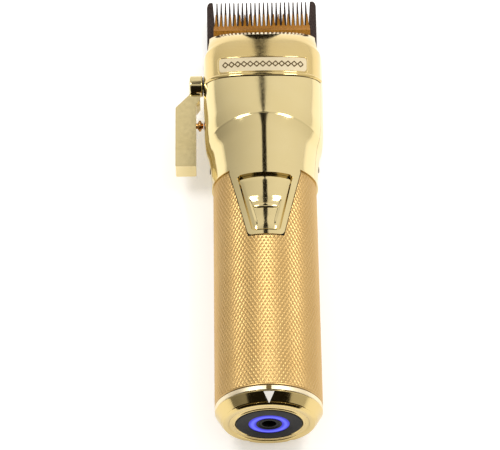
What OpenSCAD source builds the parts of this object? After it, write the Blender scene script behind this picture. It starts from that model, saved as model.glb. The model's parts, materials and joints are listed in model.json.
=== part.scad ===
// Cordless hair clipper with a knurled grip, a pull-out battery and a side taper lever.
// It lies on its back: +Y points to the blades, +Z to the switch side, +X to the right.
// The origin is the centre of the base rim, on the axis of the grip.

/* [Grip] */
// Outer diameter of the knurled grip
grip_d = 40.2; // [34:0.2:49]
// Length of the knurled grip
grip_len = 93.2; // [78:0.2:112]
// Wall of the knurled sleeve
grip_wall = 1.6; // [1.2:0.1:2]
// Wall of the battery guide tube
guide_wall = 1.7; // [1.2:0.1:2.2]

/* [Base cap] */
// Height of the conical cap
cap_len = 4.5; // [4:0.1:6]
// How far the base rim lies inside the grip surface
cap_taper = 2.9; // [2:0.1:3.4]
// Height of the trim ring above the cap
trim_len = 2; // [1.4:0.1:3]
// Diameter of the black disc in the base
disc_d = 24.6; // [20:0.2:27]
// Outer diameter of the light ring
led_d = 15.2; // [12:0.2:18]
// Width of the light ring
led_w = 2.8; // [1.5:0.1:3]
// Bore of the charging jack
jack_bore = 5.5; // [4:0.1:6]

/* [Battery] */
// Diameter of the cell
cell_d = 18.4; // [14:0.2:22]
// Length of the cell
cell_len = 65; // [50:0.5:68]

/* [Head] */
// Greatest width of the head
head_w = 47.6; // [40:0.2:58]
// Length of the head from the grip to its back edge
head_len = 64.8; // [60:0.2:72]
// How far the front cover reaches past the back edge
lip_len = 8.8; // [7:0.1:10]
// Wall of the head shells
shell_wall = 1.6; // [1.2:0.1:2.2]
// Height of the front cover at its lip, above the axis
lip_z = -1; // [-2:0.5:1]
// Height of the front face at the cover seam, above the axis
seam_z = 16.5; // [14:0.5:19]

/* [Blades] */
// Width of the comb blade
blade_w = 45; // [36:0.5:46]
// Length of the comb blade along its own face
blade_len = 32.2; // [28:0.2:36]
// Thickness of the comb blade at its heel
blade_t = 3.1; // [2.4:0.1:3.6]
// Tilt of the blades to the grip axis
blade_tilt = 10.7; // [8:0.1:12]
// Number of thin comb teeth
comb_teeth = 22; // [18:1:26]
// Spacing of the comb teeth
comb_pitch = 1.745; // [1.4:0.005:1.8]
// Number of cutter teeth
cutter_teeth = 20; // [16:1:24]
// Width of the cutter blade
cutter_w = 39.5; // [33:0.5:42]
// Distance from the cutter tips to the comb tips with the lever at rest
setback = 5.6; // [4.5:0.1:7]
// Half of the cutter stroke
stroke = 1.2; // [0.8:0.1:1.4]

/* [Lever] */
// Diameter of the lever hub
hub_d = 8.6; // [7.6:0.1:10]
// Length of the lever from its hub to its end
lever_len = 37.3; // [30:0.1:46]
// Thickness of the lever arm
lever_t = 8; // [5:0.1:9]
// Width of the lever arm
lever_w = 8.2; // [6:0.1:9.8]
// Turn of the lever from open to closed
lever_turn = 45; // [40:1:50]
// Distance of the cam pin from the lever axis
cam_throw = 3.9; // [3.2:0.1:4.2]

/* [Motor] */
// Diameter of the motor can
motor_d = 24; // [20:0.2:28.8]
// Length of the motor can
motor_len = 32; // [26:0.5:33]
// Diameter of the motor shaft
shaft_d = 3; // [2.4:0.1:3.6]

/* [Switch] */
// Travel of the power switch
switch_travel = 1.8; // [1:0.1:2]
// Length of the switch tongue
tongue_len = 30.6; // [26:0.1:34]
// Half width of the tongue at its top
tongue_top = 13.6; // [12:0.1:14.4]
// Half width of the tongue at its bottom
tongue_bottom = 6.7; // [5.5:0.1:7.5]
// Width of the tongue's rim
tongue_rim = 1.5; // [1:0.1:2]

/* [Fits] */
// Gap between faces that slide past each other
slide_gap = 0.3; // [0.25:0.01:0.4]
// Radial clearance of a shaft in its bush
run_gap = 0.05; // [0.02:0.01:0.08]
// Gap between faces that are assembled and stay still
seat_gap = 0.1; // [0.05:0.01:0.15]

/* [Hidden] */
$fn = 64;
gold = "#d9c07c";
deep_gold = "#c9a253";
steel = "#b9bcc0";
black = "#1c1c1e";

// Stations along the grip
grip_r = grip_d / 2;
trim_y = cap_len + 0.2;
grip_y = trim_y + trim_len + seat_gap;
neck_y = grip_y + grip_len;
sleeve_in = grip_r - grip_wall;
guide_r = sleeve_in - seat_gap;
guide_in = guide_r - guide_wall;
cap_face = 1.6;
cap_rim_r = grip_r - cap_taper;
catch_y = grip_y + 7;
catch_wire = 1;
board_t = 1.6;

// Battery
battery_r = guide_in - slide_gap;
battery_wall = 1.4;
flange_t = 1.2;
flange_y = cap_face + slide_gap;
tube_y = flange_y + flange_t;
cell_y = 10.6;
top_cap_y = cell_y + cell_len + seat_gap;
top_cap_t = 1.6;
battery_y = top_cap_y + top_cap_t;
jack_wall = 0.8;
jack_r = jack_bore / 2 + jack_wall;
jack_len = 9.6;
pin_r = 0.9;
contact_x = [-6, 0, 6];

// Contacts and boards, counted back from the neck
block_y = battery_y + 0.9;
block_t = 4;
board_y = neck_y - 15;
guide_y = board_y - 2.8;
board_z = -6;
board_x = guide_r - 3.8;
chassis_r = guide_r - 0.9;
foot_x = guide_r - 7.4;
foot_z = -sqrt(pow(guide_r - 0.3, 2) - pow(foot_x + 1, 2));
chassis_wall = 1.6;
board_len = 16;
switch_board_z = 5.4;
switch_z = switch_board_z + board_t;
switch_h = 5;
stem_y = neck_y - 13.4;
stem_len = 3;
stem_w = 3;

// Motor
motor_r = motor_d / 2;
motor_z = -1;
motor_y = neck_y + 5;
can_t = 0.8;
bell_y = motor_y + motor_len;
bell_t = 2;
plate_y = bell_y + bell_t;
plate_t = 2;
shaft_r = shaft_d / 2;
bush_r = shaft_r + run_gap;
bush_wall = 1.5;
cam_y = neck_y + 44;
cam_t = 4;
cam_r = 4.6;
drive_pin_r = 1.25;
drive_pin_end = neck_y + 66.5;

// Head
neck_r = grip_r + 0.6;
side_w = head_w / 2;
back_z = -grip_r;
lip_u = head_len + lip_len;
split = 20;
split_gap = 0.4;
crease_u = 23.4;
crease_bow = 5.4;
seam_u = 42.5;
seam_bow = 2.8;

// Blades: heel_y and heel_z are the back edge of the shear face, which the blades slide on
heel_y = neck_y + head_len + 0.2;
heel_z = back_z + seat_gap + blade_t * cos(blade_tilt) + 0.1;
tooth_root = blade_len - 10.8;
corner_tooth = 3.2;
cutter_tip = blade_len - setback;
cutter_y = 11;
cutter_h = 4.4;
seat_len = 9.5;
seat_h = 4.65;
rail_x = 8.2;
rail_w = 4.4;
rail_z = seat_h + 0.15;
rail_h = 2;
groove_y = 13;
groove_w = 2;
screw_x = 16.5;

// Lever
lever_y = neck_y + 49.8;
lever_z = -2;
hub_x = side_w + 0.2;
hub_len = 5.4;
arm_in = hub_x + 2.8;
arm_top = lever_z + 0.4;
lever_shaft_r = 2.5;
lever_bush_r = 4.2;
cam_disc_x = 15.6;
cam_disc_t = 2.2;
shaft_end_x = 1.8 - hub_x - hub_len;
cam_pin_r = 1.2;
cam_travel = 2 * cam_throw * sin(lever_turn / 2);
detent_y = lever_y - 18.6;

// Screws that hold the rear housing on the chassis, ending short of the motor
screw_y = [neck_y + 3, neck_y + 33.5];
screw_seat = back_z + 1;
screw_len = motor_z - motor_r - 1.9 - screw_seat;

// Half width, front height and roundness of the head along it, by distance from the neck
W = [[0, neck_r], [5.4, neck_r], [18, neck_r + 1], [24, side_w - 0.8], [30, side_w - 0.3],
     [56, side_w], [66, side_w], [69, side_w - 0.9], [75, side_w - 1.6]];
F = [[0, neck_r], [crease_u, neck_r + 0.2], [seam_u, seam_z], [lip_u - 17.6, lip_z + 13],
     [lip_u - 8.6, lip_z + 8], [lip_u - 3.6, lip_z + 4], [lip_u, lip_z]];
B = [[0, neck_r], [4, grip_r], [head_len - 7, grip_r], [head_len, grip_r - 0.9]];
M = [[0, 0], [30, -1], [head_len, -4], [lip_u, -8]];
E = [[0, 2], [16, 2], [30, 2.5], [50, 2.8], [70, 3]];

// Signed power, which squares up a round section
function spow(v, p) = sign(v) * pow(abs(v), p);

// A point of the head's skin: angle a from +X towards +Z, u from the neck, inset from the skin
function skin(a, u, inset) =
  let (s = u + crease_bow * pow(cos(a), 2), p = 2 / lookup(s, E), mid = lookup(u, M),
       w = lookup(s, W) - inset, f = lookup(u, F) - mid - inset,
       b = min(lookup(u, B), grip_r - 0.1) + mid - inset)
  [w * spow(cos(a), p), neck_y + u, mid + (sin(a) > 0 ? f : b) * spow(sin(a), p)];

// A closed shell patch between two angles and two edge curves, as [points, faces]
function shell_patch(a0, a1, na, nu, u0, u1, bow0, bow1, inset0, inset1) =
  let (row = na + 1, count = row * (nu + 1),
       at = function (i, j, d) let (a = a0 + (a1 - a0) * j / na, c = pow(cos(a), 2))
         skin(a, u0 + bow0 * c + (u1 + bow1 * c - u0 - bow0 * c) * i / nu, d),
       pts = [for (d = [inset0, inset1]) for (i = [0:nu]) for (j = [0:na]) at(i, j, d)],
       quad = function (p, q, r, s) [[p, q, r], [p, r, s]],
       id = function (k, i, j) k * count + i * row + j,
       outer = [for (i = [0:nu - 1]) for (j = [0:na - 1])
         each quad(id(0, i, j), id(0, i, j + 1), id(0, i + 1, j + 1), id(0, i + 1, j))],
       inner = [for (i = [0:nu - 1]) for (j = [0:na - 1])
         each quad(id(1, i, j), id(1, i + 1, j), id(1, i + 1, j + 1), id(1, i, j + 1))],
       ends = [for (j = [0:na - 1]) each concat(
         quad(id(0, 0, j), id(1, 0, j), id(1, 0, j + 1), id(0, 0, j + 1)),
         quad(id(0, nu, j), id(0, nu, j + 1), id(1, nu, j + 1), id(1, nu, j)))],
       sides = [for (i = [0:nu - 1]) each concat(
         quad(id(0, i, 0), id(0, i + 1, 0), id(1, i + 1, 0), id(1, i, 0)),
         quad(id(0, i, na), id(1, i, na), id(1, i + 1, na), id(0, i + 1, na)))])
  [pts, concat(outer, inner, ends, sides)];

module patch(a0, a1, na, nu, u0, u1, bow0, bow1, inset0, inset1) {
  p = shell_patch(a0, a1, na, nu, u0, u1, bow0, bow1, inset0, inset1);
  polyhedron(points = p[0], faces = p[1], convexity = 6);
}

// Things that turn about Y, from station y
module along_y(y, x = 0, z = 0) translate([x, y, z]) rotate([-90, 0, 0]) children();

// Things that turn about X, growing towards +X from x
module along_x(x, y, z) translate([x, y, z]) rotate([0, 90, 0]) children();

// A ring about the grip axis between two radii and two stations
module ring(ro, ri, y0, y1) along_y(y0) difference() {
  cylinder(r = ro, h = y1 - y0);
  translate([0, 0, -1]) cylinder(r = ri, h = y1 - y0 + 2);
}

// A solid turned about the grip axis from [radius, station] points
module turned_y(points) rotate([-90, 0, 0]) rotate_extrude() polygon(points);

// A box by its lowest and highest corners
module block(low, high) translate(low) cube(high - low);

// The blades' own frame: y along the shear face, z square to it
module blade_frame() translate([0, heel_y, heel_z]) rotate([blade_tilt, 0, 0]) children();

// The same solid on both sides of the clipper
module both_sides(x) for (side = [-1, 1]) translate([side * x, 0, 0]) children();

// A pan-head screw along +Z: head below z = 0, shank above, with a cross recess
module screw(head_r, head_h, shank_r, shank_l) difference() {
  union() {
    translate([0, 0, -head_h]) cylinder(r = head_r, h = head_h);
    cylinder(r = shank_r, h = shank_l);
  }
  for (turn = [0, 90]) rotate([0, 0, turn])
    block([-head_r * 0.6, -head_r * 0.12, -head_h - 1], [head_r * 0.6, head_r * 0.12, -head_h / 2]);
}

// The trapezium of the switch tongue, drawn in X and Y and grown by d
module tongue_outline(d, y_top = neck_y) {
  low = neck_y - tongue_len;
  polygon([[-tongue_bottom - d, low - d], [tongue_bottom + d, low - d],
           [tongue_top + d, neck_y - 1.5], [tongue_top + d, y_top],
           [-tongue_top - d, y_top], [-tongue_top - d, neck_y - 1.5]]);
}

// The opening in the tongue that the slider moves in, drawn in X and Y and grown by d
module slider_outline(d, low, high) {
  x_low = tongue_bottom - tongue_rim + 0.2;
  x_high = tongue_top - tongue_rim - 1.3;
  polygon([[-x_low - d, low], [x_low + d, low], [x_high + d, high], [-x_high - d, high]]);
}

// Keeps what lies between two radii of the grip axis, on the switch side
module between_radii(ri, ro) intersection() {
  ring(ro, ri, neck_y - tongue_len - 2, neck_y + 3);
  children();
}

module cap_ring() color(gold) difference() {
  turned_y([[disc_d / 2 + 0.15, 0], [cap_rim_r, 0], [grip_r, cap_len],
            [guide_in, cap_len], [guide_in, cap_face], [disc_d / 2 + 0.15, cap_face]]);
  arrow_shape(0.5, 1);
}

// The arrow set into the cap's cone, between two depths below the cone
module arrow_shape(deep, proud = 0) intersection() {
  turned_y([[cap_rim_r - deep, 0], [cap_rim_r + proud, 0], [grip_r + proud, cap_len],
            [grip_r - deep, cap_len]]);
  linear_extrude(height = grip_r + 2)
    polygon([[0, 0.7], [2, cap_len - 0.4], [-2, cap_len - 0.4]]);
}

module cap_arrow() color("white") arrow_shape(0.45);

module base_disc() color(black) difference() {
  turned_y([[jack_r + seat_gap, 0], [disc_d / 2, 0], [disc_d / 2, flange_y], [battery_r, flange_y],
            [battery_r, tube_y], [jack_r + seat_gap, tube_y]]);
  ring(led_d / 2, led_d / 2 - led_w, -1, 0.8);
}

module led_ring() color("#3a4dff") ring(led_d / 2, led_d / 2 - led_w, 0.1, 0.8);

module charge_jack() color(black) union() {
  ring(jack_r, jack_bore / 2, 0.3, jack_len);
  along_y(jack_len - 1) cylinder(r = jack_r, h = 1);
  along_y(2) cylinder(r = pin_r, h = jack_len - 2.5);
}

module charge_board() color("#1f6b3a") union() {
  ring(battery_r - battery_wall - 0.3, jack_r + seat_gap, 5, 5 + board_t);
  block([5.5, 5 + board_t, -3], [10.5, 5 + board_t + 1.4, 3]);
  block([-9.5, 5 + board_t, 4], [-5.5, 5 + board_t + 1, 8]);
}

module battery_tube() color("#2a2a2d") difference() {
  ring(battery_r, battery_r - battery_wall, tube_y, top_cap_y);
  ring(battery_r + 1, battery_r - 0.3, catch_y - 0.8, catch_y + 0.8);
}

module battery_cell() color("#2f7fb5") union() {
  along_y(cell_y) cylinder(d = cell_d, h = cell_len - 1);
  along_y(cell_y + cell_len - 1) cylinder(r = 3, h = 1);
}

module cell_holder() color("#d8d8d2") difference() {
  union() {
    for (y = [cell_y + 6, cell_y + cell_len - 12])
      ring(battery_r - battery_wall - seat_gap, cell_d / 2 + seat_gap, y, y + 3);
    both_sides(cell_d / 2 + 1.2) block([-0.9, cell_y + 6, -2.5], [0.9, cell_y + cell_len - 10, 2.5]);
  }
  along_y(cell_y) cylinder(r = cell_d / 2 + seat_gap, h = cell_len);
}

module battery_top_cap() color("#2a2a2d") difference() {
  along_y(top_cap_y) cylinder(r = battery_r, h = top_cap_t);
  for (x = contact_x) along_y(battery_y - 0.4, x) cylinder(r = 2, h = 1);
}

module battery_contacts() color("#d8b45a")
  for (x = contact_x) along_y(battery_y - 0.4, x) cylinder(r = 1.9, h = 0.4);

module trim_ring() color("#d9d2bd") difference() {
  ring(grip_r, guide_in, trim_y, trim_y + trim_len);
  block([-0.6, trim_y + 0.3, grip_r - 0.5], [0.6, trim_y + trim_len - 0.3, grip_r + 1]);
}

module index_mark() color(black)
  block([-0.6, trim_y + 0.3, grip_r - 0.5], [0.6, trim_y + trim_len - 0.3, grip_r + 0.08]);

module grip_sleeve() color(deep_gold) difference() {
  ring(grip_r, sleeve_in, grip_y, neck_y);
  linear_extrude(height = grip_r + 2) tongue_outline(0.15, neck_y + 1);
}

module battery_guide() color("#3a3a3d") difference() {
  ring(guide_r, guide_in, grip_y, guide_y);
  ring(guide_in + 0.75, guide_in - 1, catch_y - 0.8, catch_y + 0.8);
}

module battery_catch_spring() color(steel) along_y(catch_y)
  rotate_extrude() translate([guide_in + 0.1, 0]) circle(d = catch_wire);

module contact_block() color("#3a3a3d") difference() {
  along_y(block_y) cylinder(r = guide_in - seat_gap, h = block_t);
  for (x = contact_x) along_y(block_y - 1, x) cylinder(r = 1, h = block_t + 2);
}

module contact_pins() color("#d8b45a") for (x = contact_x) {
  along_y(battery_y + 0.1, x) cylinder(r = 0.7, h = block_y - battery_y - 0.1);
  along_y(block_y, x) cylinder(r = 1, h = block_t + 1.5);
}

module inner_chassis() color("#55565a") difference() {
  union() {
    intersection() {
      ring(chassis_r, chassis_r - chassis_wall, board_y, bell_y);
      block([-grip_d, 0, -grip_d], [grip_d, bell_y + 1, -4]);
    }
    for (y = [motor_y + 3, bell_y - 5]) intersection() {
      along_y(y) cylinder(r = chassis_r - 0.5, h = 2.5);
      block([-grip_d, y, -grip_d], [grip_d, y + 3, motor_z]);
    }
    both_sides(foot_x) block([-1, board_y, foot_z], [1, board_y + board_len, board_z]);
  }
  along_y(motor_y, 0, motor_z) cylinder(r = motor_r + seat_gap, h = motor_len + 1);
  for (y = screw_y) translate([0, y, -grip_d]) cylinder(r = 1.2, h = grip_d);
}

module control_board() color("#1f6b3a") union() {
  block([-board_x, board_y, board_z], [board_x, board_y + board_len, board_z + board_t]);
  block([-4, board_y + 4, board_z + board_t], [4, board_y + 12, board_z + board_t + 1.5]);
  block([-12, board_y + 5, board_z + board_t], [-8, board_y + 9, board_z + board_t + 2.5]);
}

module board_spacers() color(steel) for (x = [-7, 7]) for (y = [board_y + 1.9, board_y + 13.8])
  translate([x, y, board_z + board_t]) cylinder(r = 1.3, h = switch_board_z - board_z - board_t);

module switch_board() color("#1f6b3a")
  block([-9, board_y, switch_board_z], [9, board_y + board_len, switch_board_z + board_t]);

module micro_switch() color("#333336") difference() {
  block([-4, stem_y - 3, switch_z], [4, stem_y + 8, switch_z + switch_h]);
  block([-stem_w / 2 - slide_gap, stem_y - slide_gap, switch_z + switch_h - 2],
        [stem_w / 2 + slide_gap, stem_y + stem_len + switch_travel + slide_gap, switch_z + switch_h + 1]);
}

module switch_stem() color("#333336")
  block([-stem_w / 2, stem_y, switch_z + switch_h - 2 + slide_gap],
        [stem_w / 2, stem_y + stem_len, grip_r - 0.65]);

module switch_slider() color(gold) {
  low = neck_y - tongue_len + 2.3;
  high = low + tongue_len - 7.9;
  difference() {
    between_radii(grip_r - 0.5, grip_r + 0.35)
      linear_extrude(height = grip_r + 2) slider_outline(-0.9, low, high);
    along_x(-20, low + 8, grip_r + 11.2) cylinder(r = 11.2, h = 40);
    block([-stem_w / 2, stem_y, grip_r - 3], [stem_w / 2, stem_y + stem_len, grip_r - 0.65]);
  }
  translate([-4, low + 9.2, grip_r - 0.45]) cube([8, 2.2, 0.9]);
}

module motor_leads() color("#b03030") {
  start = board_y + board_len - 4;
  both_sides(4.6) along_y(start, 0, board_z + board_t + 0.6) cylinder(r = 0.6, h = motor_y - start);
}

module motor_can() color("#a9adb3") along_y(motor_y, 0, motor_z) difference() {
  cylinder(r = motor_r, h = motor_len);
  translate([0, 0, can_t]) cylinder(r = motor_r - can_t, h = motor_len);
  translate([0, 0, -1]) cylinder(r = bush_r + bush_wall, h = 3);
}

module motor_magnets() color("#3c3f44") along_y(motor_y + 5, 0, motor_z) difference() {
  cylinder(r = motor_r - can_t, h = motor_len - 9);
  translate([0, 0, -1]) cylinder(r = motor_r - can_t - 2, h = motor_len);
  block([-2.5, -motor_d, -1], [2.5, motor_d, motor_len]);
}

module motor_end_bell() color("#a9adb3") along_y(bell_y, 0, motor_z) difference() {
  cylinder(r = motor_r, h = bell_t);
  translate([0, 0, -1]) cylinder(r = bush_r + bush_wall, h = bell_t + 2);
  for (x = [-8, 8]) translate([x, 0, -1]) cylinder(r = 1, h = bell_t + 2);
}

module motor_bushes() color("#b08d57") for (y = [motor_y, bell_y - 0.5])
  along_y(y, 0, motor_z) difference() {
    cylinder(r = bush_r + bush_wall, h = 2.5);
    translate([0, 0, -1]) cylinder(r = bush_r, h = 5);
  }

module motor_mount_plate() color(steel) difference() {
  block([-12.5, plate_y, motor_z - 13], [12.5, plate_y + plate_t, motor_z + 10]);
  along_y(plate_y - 1, 0, motor_z) cylinder(r = bush_r + bush_wall + 0.5, h = plate_t + 2);
  for (x = [-8, 8]) along_y(plate_y - 1, x, motor_z) cylinder(r = 1, h = plate_t + 2);
}

module motor_screws() color(steel) for (x = [-8, 8])
  translate([x, plate_y + plate_t, motor_z]) rotate([90, 0, 0]) screw(1.9, 1.3, 1, plate_t + bell_t);

module motor_shaft() color(steel)
  along_y(motor_y + 0.4, 0, motor_z) cylinder(r = shaft_r, h = cam_y + cam_t - motor_y - 0.4);

module armature() color("#8a5a33") along_y(motor_y + 8, 0, motor_z) difference() {
  cylinder(r = motor_r - can_t - 2.5, h = motor_len - 15);
  translate([0, 0, -1]) cylinder(r = shaft_r, h = motor_len);
  for (turn = [0, 120, 240]) rotate([0, 0, turn]) translate([5, -0.8, -1]) cube([12, 1.6, motor_len]);
}

module commutator() color("#c17f45") along_y(motor_y + 4, 0, motor_z) difference() {
  cylinder(r = 3.4, h = 3);
  translate([0, 0, -1]) cylinder(r = shaft_r, h = 5);
}

module eccentric() color(steel) along_y(cam_y, 0, motor_z) difference() {
  cylinder(r = cam_r, h = cam_t);
  translate([0, 0, -1]) cylinder(r = shaft_r, h = cam_t + 2);
}

// A half ring on the side away from the drive pin
module counterweight() color("#8b8e93") along_y(cam_y, 0, motor_z) difference() {
  cylinder(r = cam_r + 2.2, h = cam_t - 1);
  translate([0, 0, -1]) cylinder(r = cam_r, h = cam_t + 2);
  translate([-20, -20, -1]) cube([40, 20, cam_t + 2]);
}

module drive_pin() color(steel)
  along_y(cam_y + cam_t, 0, motor_z + stroke) cylinder(r = drive_pin_r, h = drive_pin_end - cam_y - cam_t);

module front_housing() color(gold) difference() {
  union() {
    patch(split + split_gap, 180 - split - split_gap, 20, 10, 0, seam_u, 0, seam_bow, 0, shell_wall);
    between_radii(grip_r - 1.4, grip_r + 0.5)
      linear_extrude(height = grip_r + 2) tongue_outline(0, neck_y + 1.2);
  }
  between_radii(grip_r - 0.6, grip_r + 3) linear_extrude(height = grip_r + 4)
    slider_outline(0, neck_y - tongue_len + 1.6, neck_y - 3.7);
  block([-stem_w / 2 - slide_gap, stem_y - slide_gap, grip_r - 4],
        [stem_w / 2 + slide_gap, stem_y + stem_len + switch_travel + slide_gap, grip_r + 1]);
}

module front_cover() color(deep_gold)
  patch(split + split_gap, 180 - split - split_gap, 20, 12,
        seam_u + 0.15, lip_u, seam_bow, 0, 0, shell_wall);

module label_plate() color("#e6d7a6")
  patch(49, 131, 14, 3, seam_u + 1.6, seam_u + 10.6, seam_bow, seam_bow, -0.6, -0.08);

module rear_housing() color(gold) difference() {
  patch(180 - split, 360 + split, 32, 20, 0, head_len, 0, 0, 0, shell_wall);
  along_x(-side_w - 5, lever_y, lever_z) cylinder(r = lever_bush_r, h = 12);
  block([-10, neck_y + 11, back_z - 1], [10, neck_y + 27, back_z + 0.8]);
  for (y = screw_y) translate([0, y, back_z - 1]) {
    cylinder(r = 2.5, h = 2);
    cylinder(r = 1.3, h = 6);
  }
  for (side = [-1, 1]) along_x(side * (neck_r + 1) - 4, neck_y + 9.1, 0) cylinder(r = 1.4, h = 8);
}

module rating_plate() color("#d9d2bd")
  block([-9.9, neck_y + 11.1, back_z], [9.9, neck_y + 26.9, back_z + 0.75]);

module housing_screws() color(steel) for (y = screw_y)
  translate([0, y, screw_seat]) screw(2.4, 0.8, 1.1, screw_len);

module side_screws() color(black) for (side = [-1, 1])
  along_x(side * (neck_r - 0.8) - 1.5, neck_y + 9.1, 0) cylinder(r = 1.3, h = 3);

module blade_seat() color("#8f9297") blade_frame() difference() {
  block([-screw_x - 2.5, 1.2, 0.05], [screw_x + 2.5, seat_len, seat_h]);
  for (x = [-screw_x, screw_x]) translate([x, 4.5, -1]) cylinder(r = 1.3, h = seat_h + 2);
  both_sides(rail_x + rail_w / 2) translate([0, 6.5, -1]) cylinder(r = 0.9, h = seat_h + 2);
}

module blade_screws() color(steel) blade_frame() for (x = [-screw_x, screw_x])
  translate([x, 4.5, -blade_t + 1.5]) screw(2.7, 1.3, 1.3, blade_t + 2);

module comb_blade() color("#5d5a5c") blade_frame() difference() {
  intersection() {
    translate([0, 0, -blade_t]) linear_extrude(height = blade_t) comb_outline();
    rotate([90, 0, 90]) translate([0, 0, -blade_w]) linear_extrude(height = 2 * blade_w)
      polygon([[0, 0], [0, -blade_t], [tooth_root - 4, -blade_t], [blade_len, -0.5], [blade_len, 0]]);
  }
  for (x = [-screw_x, screw_x]) translate([x, 4.5, -blade_t - 1]) {
    cylinder(r = 1.4, h = blade_t + 2);
    cylinder(r = 2.8, h = 2.5);
  }
}

// The comb drawn in its own plane: a plate, thin teeth and two wide corner teeth
module comb_outline() {
  half = blade_w / 2;
  first = -comb_pitch * (comb_teeth - 1) / 2;
  tooth_len = blade_len - tooth_root + 0.1;
  translate([-half, 0]) square([blade_w, tooth_root]);
  for (k = [0:comb_teeth - 1]) translate([first + k * comb_pitch, tooth_root - 0.1])
    polygon([[-0.5, 0], [0.5, 0], [0.2, tooth_len], [-0.2, tooth_len]]);
  for (side = [-1, 1]) scale([side, 1])
    polygon([[half, tooth_root - 0.1], [half, blade_len - 1.4], [half - 0.9, blade_len],
             [half - corner_tooth + 0.6, blade_len], [half - corner_tooth, tooth_root - 0.1]]);
}

module cutter_blade() color(deep_gold) blade_frame() difference() {
  intersection() {
    linear_extrude(height = cutter_h) cutter_outline();
    rotate([90, 0, 90]) translate([0, 0, -cutter_w]) linear_extrude(height = 2 * cutter_w)
      polygon([[cutter_y, 0.05], [cutter_tip, 0.05], [cutter_tip, 0.6], [cutter_tip - 6, 2],
               [cutter_tip - 9, cutter_h], [cutter_y, cutter_h]]);
  }
  translate([-cutter_w, groove_y, cutter_h - 1.2]) cube([2 * cutter_w, groove_w, 2]);
}

module cutter_outline() {
  root = cutter_tip - 6;
  pitch = cutter_w / cutter_teeth;
  translate([-cutter_w / 2, cutter_y]) square([cutter_w, root - cutter_y]);
  for (k = [0:cutter_teeth - 1]) translate([(k + 0.5) * pitch - cutter_w / 2, root - 0.1])
    polygon([[-0.62, 0], [0.62, 0], [0.22, 6.1], [-0.22, 6.1]]);
}

module cutter_yoke() color("#e9e7e0") {
  slot = drive_pin_r + 2 * stroke + slide_gap;
  blade_frame() difference() {
    union() {
      block([-rail_x + stroke + 0.5, cutter_y + 0.3, cutter_h], [rail_x - stroke - 0.5, groove_y - 0.2, 9.4]);
      block([-5, -2.2, 7.3], [5, groove_y - 0.2, 9.4]);
      block([-slot - 2.2, -2.2, 7.3], [slot + 2.2, 2.2, 18.4]);
    }
    block([-slot, -3, 9.4], [slot, 3, 20]);
  }
}

module cutter_carriage() color("#9fa2a7") difference() {
  outer_x = rail_x + rail_w;
  pin_y = lever_y - cam_travel / 2;
  ear_low = heel_z + (pin_y - heel_y) * tan(blade_tilt) + rail_z + 1;
  union() {
    blade_frame() {
      for (side = [-1, 1]) scale([side, 1, 1]) {
        block([rail_x, -20, rail_z], [outer_x, groove_y + groove_w - 0.3, rail_z + rail_h]);
        block([rail_x, groove_y + 0.3, cutter_h - 0.9], [outer_x, groove_y + groove_w - 0.3, rail_z + 0.1]);
      }
      block([-outer_x, 7.2, rail_z], [outer_x, 9.2, rail_z + rail_h]);
    }
    block([-outer_x, pin_y - 3.2, ear_low], [-outer_x + 1.8, pin_y + 3.2, lever_z + cam_throw + 3]);
  }
  blade_frame() both_sides(rail_x + rail_w / 2) {
    block([-1.2, 6.5 - cam_travel - 0.3, rail_z - 1], [1.2, 6.5, rail_z + rail_h + 1]);
    for (y = [6.5 - cam_travel - 0.3, 6.5])
      translate([0, y, rail_z - 1]) cylinder(r = 1.2, h = rail_h + 2);
  }
  block([-outer_x - 1, pin_y - cam_pin_r - 0.15, lever_z + cam_throw * 0.92 - 2.4],
        [-outer_x + 3, pin_y + cam_pin_r + 0.15, lever_z + cam_throw + 4]);
}

module carriage_screws() color(steel) blade_frame() both_sides(rail_x + rail_w / 2)
  translate([0, 6.5, rail_z + rail_h + 0.2]) rotate([180, 0, 0]) screw(1.9, 1, 0.9, rail_h + 4);

module tension_springs() color(steel) blade_frame() both_sides(rail_x + rail_w / 2)
  translate([0, -3, rail_z + rail_h + 1.4]) {
    rotate([0, 90, 0]) difference() {
      translate([0, 0, -1.6]) cylinder(r = 1.4, h = 3.2);
      translate([0, 0, -2]) cylinder(r = 0.8, h = 4);
    }
  }

module taper_lever() color(gold) difference() {
  union() {
    along_x(-hub_x - hub_len, lever_y, lever_z) cylinder(d = hub_d, h = hub_len);
    translate([0, 0, arm_top - lever_t]) linear_extrude(height = lever_t)
      polygon([[-hub_x - hub_len, lever_y], [-hub_x - hub_len, lever_y - hub_d / 2 + 0.4],
               [-arm_in - lever_w, lever_y - 10], [-arm_in - lever_w, lever_y - lever_len],
               [-arm_in, lever_y - lever_len], [-arm_in, lever_y - 8.8],
               [-hub_x - 1, lever_y - 6.6], [-hub_x - 1, lever_y]]);
  }
  along_x(shaft_end_x, lever_y, lever_z) cylinder(r = lever_shaft_r, h = hub_len);
  along_x(-hub_x - hub_len - 1, lever_y, lever_z) cylinder(r = 1.9, h = 3);
}

module lever_shaft() color(steel) along_x(shaft_end_x, lever_y, lever_z)
  cylinder(r = lever_shaft_r, h = -cam_disc_x - shaft_end_x);

module lever_cam() color(steel) {
  along_x(-cam_disc_x, lever_y, lever_z) cylinder(r = cam_throw + cam_pin_r + 0.6, h = cam_disc_t);
  along_x(-cam_disc_x + cam_disc_t, lever_y - cam_travel / 2, lever_z + cam_throw * cos(lever_turn / 2))
    cylinder(r = cam_pin_r, h = 3);
}

module lever_bush() color("#333336") along_x(-side_w, lever_y, lever_z) difference() {
  cylinder(r = lever_bush_r - 0.05, h = 6);
  translate([0, 0, -1]) cylinder(r = lever_shaft_r + run_gap, h = 8);
}

module lever_screw() color(steel)
  along_x(-hub_x - hub_len + 0.3, lever_y, lever_z) cylinder(r = 1.85, h = 1.5);

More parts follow.
